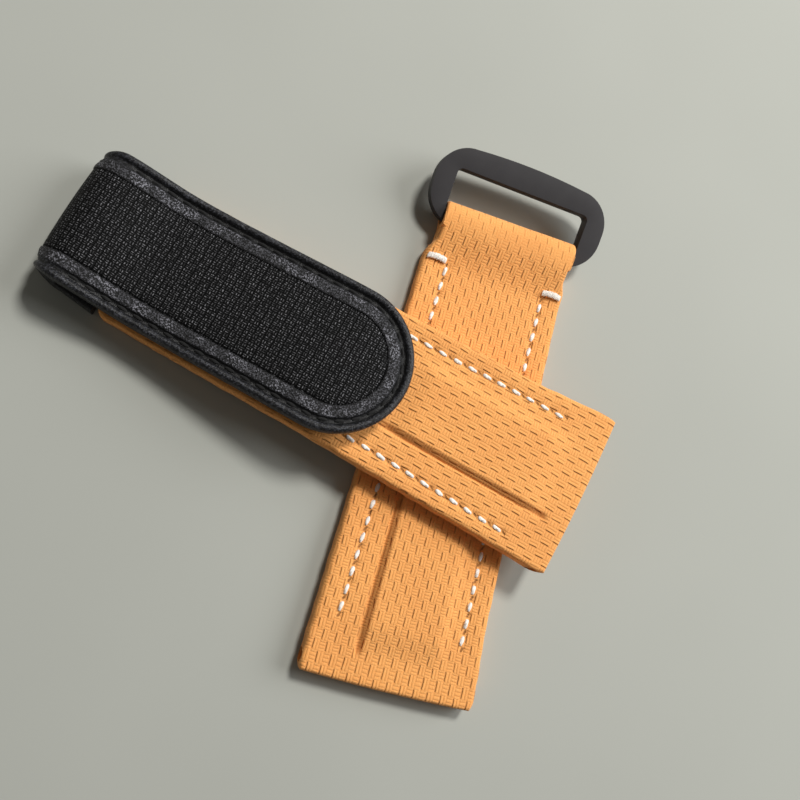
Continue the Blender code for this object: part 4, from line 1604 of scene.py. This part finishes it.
@dataclass
class LongHalf(StrapHalf):
    """The long half, whose cloth carries the loop tape and the tail's root."""

    tongue_slot: float = 12.2
    tape_width: float = 15.0
    tape_start: float = 34.0
    tape_length: float = 31.0
    tape_low: float = 2.4
    tape_high: float = 3.0

    def bend(self, point: Vector) -> Vector:
        """Take one flat point to its place in the long half."""
        return self.form.bend_long(point)

    def half_width(self, y: float) -> float:
        """Half of the long half's width."""
        return self.form.long_half_width(y)

    def build(self, shop: Workshop) -> None:
        """Make every piece of the long half up to its far end.

        Args:
            shop: Where pieces are made.
        """
        form, half, overrun = self.form, self.tongue_slot / 2, 1.0
        bm = self.hollow(self.blank(far_end_shows=True), self.length - form.cloth, self.length - form.hem)
        slot = slab((-half, self.length - form.cloth - overrun, form.padding_low - 0.05),
                    (half, self.length + overrun, form.cavity_top))
        bm = self.finish_cover(carve(bm, slot), self.length - 0.3)
        cover = shop.piece("long_cloth_cover", bm, self.ground, Finish.ORANGE, self.body,
                           ["long_outer_cloth"], 50.0)
        self.build_lining(shop, self.length - form.hem)
        self.build_stitches(shop, self.length - form.hem)
        self.build_loop_tape(shop)
        shop.dress_node("long_reinforcement", Finish.STIFFENER)
        shop.dress_node("long_padding", Finish.FOAM)
        shop.dress_node("tail_tongue", Finish.STIFFENER)

    def build_loop_tape(self, shop: Workshop) -> None:
        """The loop tape: a woven ground under a pile of small matted loops.

        Args:
            shop: Where pieces are made.
        """
        half = self.tape_width / 2
        stop = self.tape_start + self.tape_length
        top = self.tape_high - 0.22
        bm = slab((-half, self.tape_start, self.tape_low), (half, stop, top))
        round_edges(bm, 1.4, upright, 5)
        round_edges(bm, 0.1, lambda middle, along: middle.z > top - WELD, 2)
        divide(bm, 1, steps(self.tape_start + 0.4, stop - 0.4, 0.5))
        divide(bm, 0, steps(-half + 0.4, half - 0.4, 0.5))
        self.add_pile(bm, (-half + 0.7, half - 0.7, self.tape_start + 0.7, stop - 0.7))

        def matted(flat: Vector) -> Vector:
            """Bend a point, with the woven ground a little uneven."""
            if self.tape_high - 0.3 < flat.z < self.tape_high - 0.2:
                flat = flat + Vector((0.0, 0.0, 0.07 * wander(flat.x, flat.y, 0.8, 3.0)))
            return self.bend(flat)

        move_points(bm, matted)
        shop.piece("loop_tape_pile", bm, self.ground, Finish.TAPE, self.body, ["loop_tape"])

    def arch(self) -> bpy.types.Mesh:
        """One small arch of yarn, which stands on z = 0 across X.

        Returns:
            A mesh, to be copied all over the tape.
        """
        bm = bmesh.new()
        bmesh.ops.create_cone(bm, cap_ends=True, segments=4, radius1=0.07, radius2=0.07, depth=1.0)
        divide(bm, 2, (-0.25, 0.0, 0.25))

        def bowed(straight: Vector) -> Vector:
            """Bend the straight yarn into an arch."""
            turn = straight.z * math.pi
            return Vector(((0.28 - straight.x) * math.sin(turn), straight.y,
                           max((0.24 - straight.x) * math.cos(turn), -0.05)))

        move_points(bm, bowed)
        return to_mesh("arch", bm)

    def add_pile(self, bm: bmesh.types.BMesh, area: tuple[float, float, float, float]) -> None:
        """Stand arches of yarn all over the tape.

        Args:
            bm: The tape's mesh.
            area: Lowest and highest across, then lowest and highest along.
        """
        dice, arch = random.Random(17), self.arch()
        for y in steps(area[2], area[3], 0.95):
            for x in steps(area[0], area[1], 0.95):
                place = Matrix.Translation((x + dice.uniform(-0.3, 0.3), y + dice.uniform(-0.3, 0.3),
                                            self.tape_high - 0.26))
                copy = arch.copy()
                copy.transform(place @ Matrix.Rotation(dice.uniform(0.0, math.pi), 4, "Z"))
                bm.from_mesh(copy)
                bpy.data.meshes.remove(copy)
        bpy.data.meshes.remove(arch)


# The ring


@dataclass
class Ring:
    """The flat coated ring, whose held bar turns in the short half's loop."""

    form: StrapForm
    ground: Ground
    width: float = 26.8
    reach: float = 10.1
    thickness: float = 2.3
    held_bar: float = 2.4
    bar_relief: float = 0.12
    free_bar: float = 3.2
    arm: float = 3.0
    corner: float = 4.9
    inner_corner: float = 0.8
    bow: float = 0.4
    edge: float = 0.5
    inner_edge: float = 0.22
    shift: float = 0.35
    tilt: float = 17.0

    def plate(self, low: Pair, high: Pair, radius: float, near_radius: float,
              tall: float) -> bmesh.types.BMesh:
        """A flat plate with rounded corners.

        Args:
            low: Its nearest corner.
            high: Its farthest corner.
            radius: Rounding of the two far corners.
            near_radius: Rounding of the two near corners.
            tall: Its thickness.

        Returns:
            A new bmesh that holds the plate.
        """
        centre, middle, half = (low[0] + high[0]) / 2, (low[1] + high[1]) / 2, (high[0] - low[0]) / 2
        bm = slab((low[0], low[1], -tall / 2), (high[0], high[1], tall / 2))
        round_edges(bm, radius, lambda place, along: upright(place, along) and place.y > middle, 12)
        round_edges(bm, near_radius, lambda place, along: upright(place, along) and place.y < middle
                    and abs(abs(place.x - centre) - half) < WELD, 12)
        return bm

    def build(self, shop: Workshop) -> None:
        """Make the ring.

        Args:
            shop: Where pieces are made.
        """
        half, inner = self.width / 2, self.width / 2 - self.arm
        near, far = self.held_bar / 2 - self.bar_relief, self.reach - self.free_bar
        bm = self.plate((-half, -self.held_bar / 2), (half, self.reach), self.corner, self.corner * 0.999,
                        self.thickness)
        divide(bm, 0, steps(-half + self.corner, half - self.corner, 1.2))
        for vert in bm.verts:
            if vert.co.y > self.reach - 0.01:
                share = vert.co.x / (half - self.corner)
                vert.co.y += self.bow * max(0.0, 1.0 - share * share)
        hole = self.plate((-inner, near), (inner, far), self.inner_corner, 0.05, self.thickness + 2.0)
        bm = carve(bm, hole)
        bmesh.ops.dissolve_limit(bm, angle_limit=math.radians(0.5), verts=bm.verts, edges=bm.edges)

        def inside(middle: Vector) -> bool:
            """Whether an edge belongs to the hole."""
            return abs(middle.x) < inner + 0.1 and near - 0.1 < middle.y < far + 0.1

        for within, radius in ((True, self.inner_edge), (False, self.edge)):
            round_edges(bm, radius, lambda middle, along: abs(abs(middle.z) - self.thickness / 2) < WELD
                        and inside(middle) == within and abs(along.z) < 0.1, 5)
        split_large_faces(bm)
        turn = Matrix.Rotation(math.radians(self.tilt), 4, "X")
        place = Matrix.Translation((self.shift, self.form.short_length, self.form.loop_radius))
        bmesh.ops.transform(bm, matrix=place @ turn, verts=bm.verts)
        shop.piece("coated_ring", bm, self.ground, Finish.METAL, "ring", ["ring"], 40.0)


# The fold and the tail


@dataclass
class Tail:
    """The black strip: its root, the fold and the tail that lies back on the cloth."""

    form: StrapForm
    ground: Ground
    width: float = 20.2
    fold_width: float = 18.9
    tip_y: float = 39.0
    fold_y: float = 74.2
    root_start: float = 69.3
    radius: float = 3.6
    puff: float = 0.6
    puff_length: float = 10.0
    skew: float = 0.6
    swell: float = 0.45
    swell_side: Pair = (6.8, 9.2)
    draw_in: float = 0.7
    thickness: float = 2.2
    leather: float = 0.65
    panel_bottom: float = 1.2
    backing_top: float = 1.7
    stiffener_top: float = 1.3
    band: float = 3.6
    wall: float = 1.4
    bead: float = 1.15
    groove: float = 1.55
    hook_low: float = 3.1
    hook_width: float = 13.0
    hook_start: float = 34.4
    hook_length: float = 22.0
    hook_lean: float = 0.12
    stitch_pitch: float = 2.2
    stitch_depth: float = 0.42
    straight: float = 1.5
    bodies: tuple[str, ...] = ("long_half", "fold_link_1", "fold_link_2", "fold_link_3", "tail")

    @property
    def arc(self) -> float:
        """Length of the fold along its outer face."""
        return math.pi * self.radius

    def lay(self, point: Vector, slant_from: float | None = None) -> Vector:
        """Taper one point of the flat tail, slant it and lay it on the long half.

        Args:
            point: The flat point.
            slant_from: Where along the half the slant starts, or none for the tip.

        Returns:
            The point in the long half's frame.
        """
        x, y, z = point
        width = between(self.width, self.fold_width, ramp(y, self.tip_y, self.fold_y))
        slant = self.skew * ramp(y, self.tip_y if slant_from is None else slant_from, self.fold_y)
        rise = self.form.drape(y) + (self.form.thickness_share(y) - 1.0) * self.hook_low
        return Vector((x * width / self.width + slant, y, z + rise))

    def lay_lid(self, point: Vector) -> Vector:
        """Lay one point of the layers that come down from the full fold to the tapes.

        Args:
            point: The flat point.

        Returns:
            The point in the long half's frame.
        """
        laid = self.lay(point)
        laid.z -= 2 * self.puff * eased(ramp(self.fold_y - point.y, 0.0, self.puff_length))
        return laid

    def wrap(self, point: Vector) -> Vector:
        """Take a strip point (across, way along, depth) round the fold.

        Args:
            point: The way along is 0 where the fold leaves the table.

        Returns:
            The point in the long half's frame.
        """
        x, way, depth = point
        if way < 0.0:
            return self.lay(Vector((x, self.fold_y + way, depth)), self.root_start)
        if way > self.arc:
            return self.lay_lid(Vector((x, self.fold_y - (way - self.arc), 2 * self.radius - depth)))
        angle, reach = way / self.radius, self.radius - depth
        bulge = math.sin(angle) ** 2
        full = self.swell * (1.0 - eased(ramp(abs(x), *self.swell_side))) * bulge
        drawn = math.copysign(self.draw_in * eased(ramp(abs(x), 6.0, self.width / 2)) * bulge, x)
        return self.lay(Vector((x - drawn, self.fold_y + reach * math.sin(angle) + full,
                                self.radius - reach * math.cos(angle))))

    def edge_profile(self) -> list[Pair]:
        """Leather edge in section.

        Returns:
            Corners in order, as inset from the tail's edge and depth from its outer face.
        """
        bead = self.bead / 2
        band = [(inset, 0.10 - 0.03 * hump(inset - 2.8, 0.7))
                for inset in steps(self.band - 0.14, 2.15, 0.27)]
        dip = [(1.98, 0.15), (1.86, 0.29), (1.72, 0.42), (1.55, 0.47), (1.38, 0.47), (1.24, 0.42)]
        rolled = [(bead + bead * math.cos(math.radians(turn)), bead - bead * math.sin(math.radians(turn)))
                  for turn in range(28, 181, 16)]
        low = self.thickness
        return [(self.wall, self.leather), (self.band, self.leather), (self.band, 0.22), *band, *dip, *rolled,
                (0.0, low - 0.9), (0.0, low - 0.4), (0.06, low - 0.2), (0.2, low - 0.06), (0.4, low),
                (self.wall, low)]

    def pucker(self, inset: float, way: float, depth: float) -> float:
        """How far sewing and grain push the outer face down.

        Args:
            inset: How far the place is from the border.
            way: Its way along the strip.
            depth: Its depth from the outer face.

        Returns:
            The distance, in millimetres.
        """
        if depth > self.leather:
            return 0.0
        beat = math.cos(2 * math.pi * way / self.stitch_pitch)
        scallop = 0.06 * beat * hump(inset - self.groove, 0.8)
        drawn = 0.35 * hump(inset - self.groove, 0.7) * hump(way - self.arc * 0.55, self.arc * 0.9)
        return scallop - drawn + 0.05 * wander(inset * 2.0, way, 2.4, 2.0)

    def strip(self, bm: bmesh.types.BMesh, section: Sequence[Pair], start: float, stop: float) -> None:
        """Draw a section along the strip from one way to another, still straight.

        Args:
            bm: The mesh that it is added to.
            section: Across and depth of each corner.
            start: Where the piece starts along the strip.
            stop: Where it stops.
        """
        draw_out(bm, outline(bm, [(x, start, depth) for x, depth in section], True), stop - start)

    def edge_section(self, side: int) -> list[Pair]:
        """The leather edge in section on one side, as across and depth."""
        return [(side * (self.width / 2 - inset), depth) for inset, depth in self.edge_profile()]

    def panel_section(self) -> list[Pair]:
        """Right half of the nylon panel in section.

        Returns:
            Corners in order, as place across and depth.
        """
        flange, face = self.width / 2 - self.wall - 0.1, self.width / 2 - self.band - 0.06
        top = [(x, 0.2 - 0.14 * (1.0 - (x / face) ** 2)) for x in steps(0.0, face - 0.12, 0.7)]
        return [*top, (face, 0.3), (face, self.leather + 0.1), (flange, self.leather + 0.1),
                (flange, self.panel_bottom), (0.0, self.panel_bottom)]

    def whole(self, half_section: Sequence[Pair]) -> list[Pair]:
        """A whole section from its right half."""
        return [*half_section, *((-x, depth) for x, depth in reversed(half_section) if x > 0.0)]

    def backing_section(self, top: float) -> list[Pair]:
        """Right half of the backing in section, from this depth down."""
        half = self.width / 2 - self.wall - 0.1
        return [(0.0, top), (half, top), (half, self.thickness), (0.0, self.thickness)]

    def finish_strip(self, bm: bmesh.types.BMesh, start: float, stop: float, leather: bool) -> None:
        """Divide, map, pucker and wrap a straight piece of the strip.

        Args:
            bm: The piece.
            start: Where it starts along the strip.
            stop: Where it stops.
            leather: Whether it is a leather edge, which puckers.
        """
        divide(bm, 1, steps(start, stop, 0.3)[1:-1])
        close_up(bm)
        bmesh.ops.recalc_face_normals(bm, faces=bm.faces)
        if leather:
            paint_map(bm, "edge", lambda point, normal: (
                self.width / 2 - abs(point.x) if point.z < 1.2 else 0.4, point.y))
            move_points(bm, lambda point: point + Vector((0.0, 0.0, self.pucker(
                self.width / 2 - abs(point.x), point.y, point.z))))
        else:
            paint_map(bm, "cloth", lambda point, normal: (point.x, -point.y))
        move_points(bm, self.wrap)
        split_large_faces(bm)

    def build(self, shop: Workshop) -> None:
        """Make every piece of the black strip.

        Args:
            shop: Where pieces are made.
        """
        link = self.arc / 3
        spans = [(self.root_start - self.fold_y, -self.straight), (-self.straight, link / 2),
                 (link / 2, link * 1.5), (link * 1.5, link * 2.5), (link * 2.5, self.arc + self.straight)]
        for index, span in enumerate(spans):
            self.build_stretch(shop, index, *span)
        self.build_tail(shop)
        self.build_hook_tape(shop)

    def build_stretch(self, shop: Workshop, index: int, start: float, stop: float) -> None:
        """Make one stretch of the strip: the root, or one that bends over a joint of the fold.

        Args:
            shop: Where pieces are made.
            index: 0 for the root, and otherwise the number of the joint.
            start: Where it starts along the strip.
            stop: Where it stops.
        """
        name, body = (f"fold_{index}", None) if index else ("root", self.bodies[0])
        node = (f"fold_link_{index}" if index else "tail_root") if index < 4 else None
        nodes = {kind: [f"{node}_{kind}"] if node else []
                 for kind in ("edge_left", "edge_right", "panel", "backing")}
        leather, nylon, backing, thread = (bmesh.new() for _ in range(4))
        for side in (-1, 1):
            self.strip(leather, self.edge_section(side), start, stop)
        self.strip(nylon, self.whole(self.panel_section()), start, stop)
        top = self.stiffener_top if index else self.backing_top
        self.strip(backing, self.whole(self.backing_section(top)), start, stop)
        for bm in (leather, nylon, backing):
            self.finish_strip(bm, start, stop, leather=bm is leather)
        self.sew(thread, start, stop)
        pieces = [shop.piece(f"{name}_{kind}", bm, self.ground, finish, body, stands_for)
                  for kind, bm, finish, stands_for in (
                      ("leather_edges", leather, Finish.EDGE, nodes["edge_left"] + nodes["edge_right"]),
                      ("nylon", nylon, Finish.NYLON, nodes["panel"]),
                      ("backing", backing, Finish.BACKING, nodes["backing"]),
                      ("edge_stitches", thread, Finish.BLACK_THREAD, []))]
        if index:
            self.hinge(pieces, self.bodies[index - 1], self.bodies[index], self.arc / 3 * (index - 1),
                       (max(start, 0.0), min(stop, self.arc)))

    def hinge(self, pieces: Iterable[bpy.types.Object], behind: str, ahead: str, way: float,
              ways: Pair) -> None:
        """Bake the pieces' placement into their meshes, and work out where the stretch starts and stops on
        the inner face; these points are not used further.

        Args:
            pieces: The pieces that cross the joint.
            behind: The body before the joint. Not used.
            ahead: The body after it. Not used.
            way: Where the joint is along the strip.
            ways: Where the stretch that it opens starts and stops.
        """
        pivot, angle = self.wrap(Vector((0.0, way, 0.0))), way / self.radius
        inner = self.radius - self.thickness
        along = Vector((0.0, math.cos(angle), math.sin(angle)))
        start, stop = (self.ground.matrix() @ (pivot + along * inner * math.sin((end - way) / self.radius))
                       for end in ways)
        for piece in pieces:
            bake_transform(piece)
            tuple(start)
            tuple(stop)

    def sew(self, bm: bmesh.types.BMesh, start: float, stop: float) -> None:
        """Black stitches in the leather's groove between two ways along the strip.

        Args:
            bm: The mesh that they are added to.
            start: The first way.
            stop: The last way.
        """
        sewing = Stitching(int(start * 10) + 200)
        for index in range(math.ceil(start / self.stitch_pitch - 0.25), int(stop / self.stitch_pitch) + 1):
            ways = self.stitch_ways(index)
            if ways[0] < start + 0.05 or ways[1] > stop - 0.05:
                continue
            for side in (-1, 1):
                x, middle = side * (self.width / 2 - self.groove), sum(ways) / 2
                up = self.wrap(Vector((x, middle, -1.0))) - self.wrap(Vector((x, middle, 0.0)))
                holes = [self.wrap(Vector((x, way, self.stitch_depth))) for way in ways]
                sewing.add(bm, *holes, 0.42, 0.17, up, 6, 6)

    def stitch_ways(self, index: int) -> Pair:
        """Where one stitch of the leather starts and stops along the strip."""
        return (index - 0.2) * self.stitch_pitch, (index + 0.42) * self.stitch_pitch

    def build_tail(self, shop: Workshop) -> None:
        """The tail itself: leather edge, nylon panel, backing and stitches.

        Args:
            shop: Where pieces are made.
        """
        end = self.fold_y - self.straight
        reach = self.width / 2
        edge = self.turned([(reach - inset, depth) for inset, depth in self.edge_profile()], True, end)
        paint_map(edge, "edge", lambda point, normal: (
            self.inset(point) if point.z > 2 * self.radius - 1.2 else 0.4, self.way(point)))
        move_points(edge, lambda point: point - Vector((0.0, 0.0, self.pucker(
            self.inset(point), self.way(point), 2 * self.radius - point.z))))
        panel = self.turned(self.panel_section(), False, end)
        paint_map(panel, "cloth", lambda point, normal: (point.x, point.y - self.fold_y - self.arc))
        backing = self.turned(self.backing_section(self.backing_top), False, end)
        for name, bm, finish, node in (("tail_edge_leather", edge, Finish.EDGE, "tail_leather_edge"),
                                       ("tail_nylon", panel, Finish.NYLON, "tail_nylon_panel"),
                                       ("tail_backing_leather", backing, Finish.BACKING, "tail_backing")):
            move_points(bm, self.lay_lid)
            piece = shop.piece(name, bm, self.ground, finish, "tail", [node])
        shop.dress_node("tail_stiffener", Finish.STIFFENER)
        thread, sewing = bmesh.new(), Stitching(77)
        first = self.arc + self.straight
        last = self.arc + self.fold_y - self.tip_y + (reach - self.groove) * math.pi / 2
        for index in range(math.ceil(first / self.stitch_pitch), int(last / self.stitch_pitch) + 1):
            for side in (-1, 1):
                holes = [self.on_tail(side, way, self.groove, self.stitch_depth)
                         for way in self.stitch_ways(index)]
                sewing.add(thread, *holes, 0.42, 0.17, rings=6, facets=6)
        shop.piece("tail_edge_stitches", thread, self.ground, Finish.BLACK_THREAD, "tail")

    def turned(self, section: Sequence[Pair], closed: bool, end: float) -> bmesh.types.BMesh:
        """Turn a section round the tip, then draw it back towards the fold.

        Args:
            section: Reach from the middle line, and depth.
            closed: Whether the section is a closed loop.
            end: Where the drawn part stops.

        Returns:
            A new closed mesh, flat, with its outer face up.
        """
        bm = bmesh.new()
        geom = outline(bm, [(x, self.tip_y, 2 * self.radius - depth) for x, depth in section], closed)
        bmesh.ops.spin(bm, geom=geom, cent=(0.0, self.tip_y, 0.0), axis=(0.0, 0.0, 1.0), angle=-math.pi,
                       steps=72, use_merge=False, use_duplicate=False)
        bmesh.ops.remove_doubles(bm, verts=bm.verts, dist=WELD)
        draw_out(bm, [edge for edge in bm.edges if edge.is_boundary], end - self.tip_y)
        divide(bm, 1, steps(self.tip_y, end, 0.45)[1:-1])
        close_up(bm)
        split_large_faces(bm)
        bmesh.ops.recalc_face_normals(bm, faces=bm.faces)
        return bm

    def inset(self, point: Vector) -> float:
        """How far a flat tail point is from the tail's border.

        Args:
            point: The flat point.

        Returns:
            The distance, in millimetres.
        """
        if point.y > self.tip_y:
            return self.width / 2 - abs(point.x)
        return self.width / 2 - math.hypot(point.x, point.y - self.tip_y)

    def way(self, point: Vector) -> float:
        """The way along the strip to a flat tail point, measured in its groove.

        Args:
            point: The flat point.

        Returns:
            The way, which is 0 where the fold leaves the table.
        """
        whole = self.arc + self.fold_y - self.tip_y
        if point.y > self.tip_y:
            return self.arc + self.fold_y - point.y
        turn = math.atan2(self.tip_y - point.y, abs(point.x) + 1e-9)
        return whole + turn * (self.width / 2 - self.groove)

    def on_tail(self, side: int, way: float, inset: float, depth: float) -> Vector:
        """A point on the tail by its way along the strip.

        Args:
            side: -1 for left, 1 for right.
            way: The way along the strip.
            inset: Distance from the border.
            depth: Distance below the outer face.

        Returns:
            The point in the long half's frame.
        """
        whole = self.arc + self.fold_y - self.tip_y
        reach = self.width / 2 - inset
        height = 2 * self.radius - depth
        if way < whole:
            return self.lay_lid(Vector((side * reach, self.fold_y + self.arc - way, height)))
        turn = (way - whole) / (self.width / 2 - self.groove)
        return self.lay_lid(Vector((side * reach * math.cos(turn), self.tip_y - reach * math.sin(turn),
                                    height)))

    def build_hook_tape(self, shop: Workshop) -> None:
        """The hook tape under the tail: a ground with rows of small hooks.

        Args:
            shop: Where pieces are made.
        """
        half, stop = self.hook_width / 2, self.hook_start + self.hook_length
        ground = self.hook_low + 0.34
        bm = slab((-half, self.hook_start, ground), (half, stop, self.hook_low + 0.6))
        round_edges(bm, 1.4, upright, 5)
        divide(bm, 1, steps(self.hook_start + 0.5, stop - 0.5, 1.0))
        dice = random.Random(5)
        for row, y in enumerate(steps(self.hook_start + 0.8, stop - 0.8, 1.05)):
            lean = self.hook_lean * (1 if row % 2 else -1)
            for x in steps(-half + 0.7, half - 0.7, 0.75):
                made = bmesh.ops.create_cone(bm, cap_ends=True, segments=5, radius1=0.09, radius2=0.15,
                                             depth=0.3)["verts"]
                tips = [vert for vert in made if vert.co.z < 0.0]
                bmesh.ops.translate(bm, verts=tips, vec=(lean, 0.0, 0.0))
                place = Matrix.Translation((x + dice.uniform(-0.06, 0.06), y, ground - 0.14))
                bmesh.ops.transform(bm, matrix=place, verts=made)
        move_points(bm, self.lay)
        shop.piece("hook_tape_hooks", bm, self.ground, Finish.TAPE, "tail", ["hook_tape"])


# Table, lamps and camera


@dataclass(frozen=True)
class Lamp:
    """A round area lamp, placed by its direction from the strap."""

    name: str
    way: tuple[float, float, float]
    distance: float
    size: float
    power: float
    colour: Colour

    def build(self, middle: Vector) -> None:
        """Make the lamp, aimed at a point.

        Args:
            middle: The point.
        """
        light = bpy.data.lights.new(self.name, "AREA")
        light.shape, light.size, light.energy, light.color = "DISK", self.size, self.power, self.colour
        lamp = into_scene(self.name, light)
        lamp.location = middle + Vector(self.way).normalized() * self.distance
        lamp.rotation_euler = Vector(self.way).to_track_quat("Z", "Y").to_euler()


@dataclass(frozen=True)
class Studio:
    """Plain table, soft lamps and the photograph's camera."""

    eye: tuple[float, float, float] = (-0.029867, -0.016314, 0.1097)
    right: tuple[float, float, float] = (0.93378, 0.26749, 0.23770)
    down: tuple[float, float, float] = (0.30242, -0.94500, -0.12460)
    ahead: tuple[float, float, float] = (0.19130, 0.18824, -0.96331)
    lens: float = 36.0
    sky: float = 0.1
    sky_colour: Colour = (1.0, 0.96, 0.88)
    table_reach: float = 3.0
    table_drop: float = 0.00002
    aim: tuple[float, float, float] = (-0.005, 0.0, 0.0)
    lamps: tuple[Lamp, ...] = (
        Lamp("key", (0.25, 0.685, 1.0), 0.6, 0.13, 2.55, (1.0, 0.98, 0.94)),
        Lamp("fill", (1.4, 0.63, 1.0), 0.7, 0.5, 3.4, (0.98, 0.99, 1.0)))

    def build(self) -> None:
        """Make the table, lamps, world and camera."""
        self.build_table()
        for lamp in self.lamps:
            lamp.build(Vector(self.aim))
        world = bpy.data.worlds.new("studio")
        world.use_nodes = True
        back = world.node_tree.nodes["Background"]
        back.inputs["Color"].default_value = (*self.sky_colour, 1.0)
        back.inputs["Strength"].default_value = self.sky
        bpy.context.scene.world = world
        self.build_camera()

    def build_table(self) -> None:
        """Make the table top, just clear of the strap."""
        bm = bmesh.new()
        bmesh.ops.create_grid(bm, x_segments=2, y_segments=2, size=self.table_reach)
        mesh = to_mesh("table_top", bm)
        mesh.transform(Matrix.Translation((0.0, 0.0, -self.table_drop)))
        mesh.materials.append(TableTop().make())
        into_scene("table_top", mesh)

    def build_camera(self) -> None:
        """Make the camera that sees the strap as the photograph does."""
        scene = bpy.context.scene
        data = bpy.data.cameras.new("camera")
        data.sensor_width, data.lens, data.clip_start = 36.0, self.lens, 0.005
        camera = into_scene("camera", data)
        columns = [Vector(self.right), -Vector(self.down), -Vector(self.ahead)]
        turn = Matrix([[column[row] for column in columns] for row in range(3)])
        camera.matrix_world = Matrix.Translation(self.eye) @ turn.to_4x4()
        scene.camera = camera
        scene.view_settings.view_transform = "Standard"


# Where the two halves lie, and where they are sewn
LONG_HALF_X, LONG_HALF_Y, LONG_HALF_TURN = 18.9, 31.5, 78.4
SHORT_SEAMS = (Seam(((8.0, -8.75), (24.0, -8.3), (53.0, -7.45), (60.0, -7.3)), 58.5),
               Seam(((7.6, 8.75), (20.0, 8.45), (53.0, 7.9), (60.0, 7.8)), 58.9))
LONG_SEAMS = (Seam(((8.2, -9.5), (28.0, -8.4), (66.0, -7.3)), 66.0),
              Seam(((7.0, 8.9), (28.0, 8.2), (66.0, 7.2)), 66.0))


def main() -> None:
    """Build the strap's sub-assemblies in order, then the studio."""
    logging.basicConfig(level=logging.INFO, format="%(name)s %(message)s")
    shop, form = Workshop(), StrapForm()
    short_ground = Ground(0.0, -form.short_length / 2)
    long_ground = Ground(LONG_HALF_X, LONG_HALF_Y - form.short_length / 2, LONG_HALF_TURN)
    short = ShortHalf(form, short_ground, "short_half", "short", form.short_length, SHORT_SEAMS,
                      seed=1.3, flare=0.55, slant=0.0)
    long = LongHalf(form, long_ground, "long_half", "long", form.long_length, LONG_SEAMS,
                    seed=4.7, flare=0.55, slant=0.3)
    for part in (short, Ring(form, short_ground), long, Tail(form, long_ground)):
        LOG.info("building %s", type(part).__name__)
        part.build(shop)
    Studio().build()
    LOG.info("%d pieces made", len(shop.made))


if __name__ == "__main__":
    main()
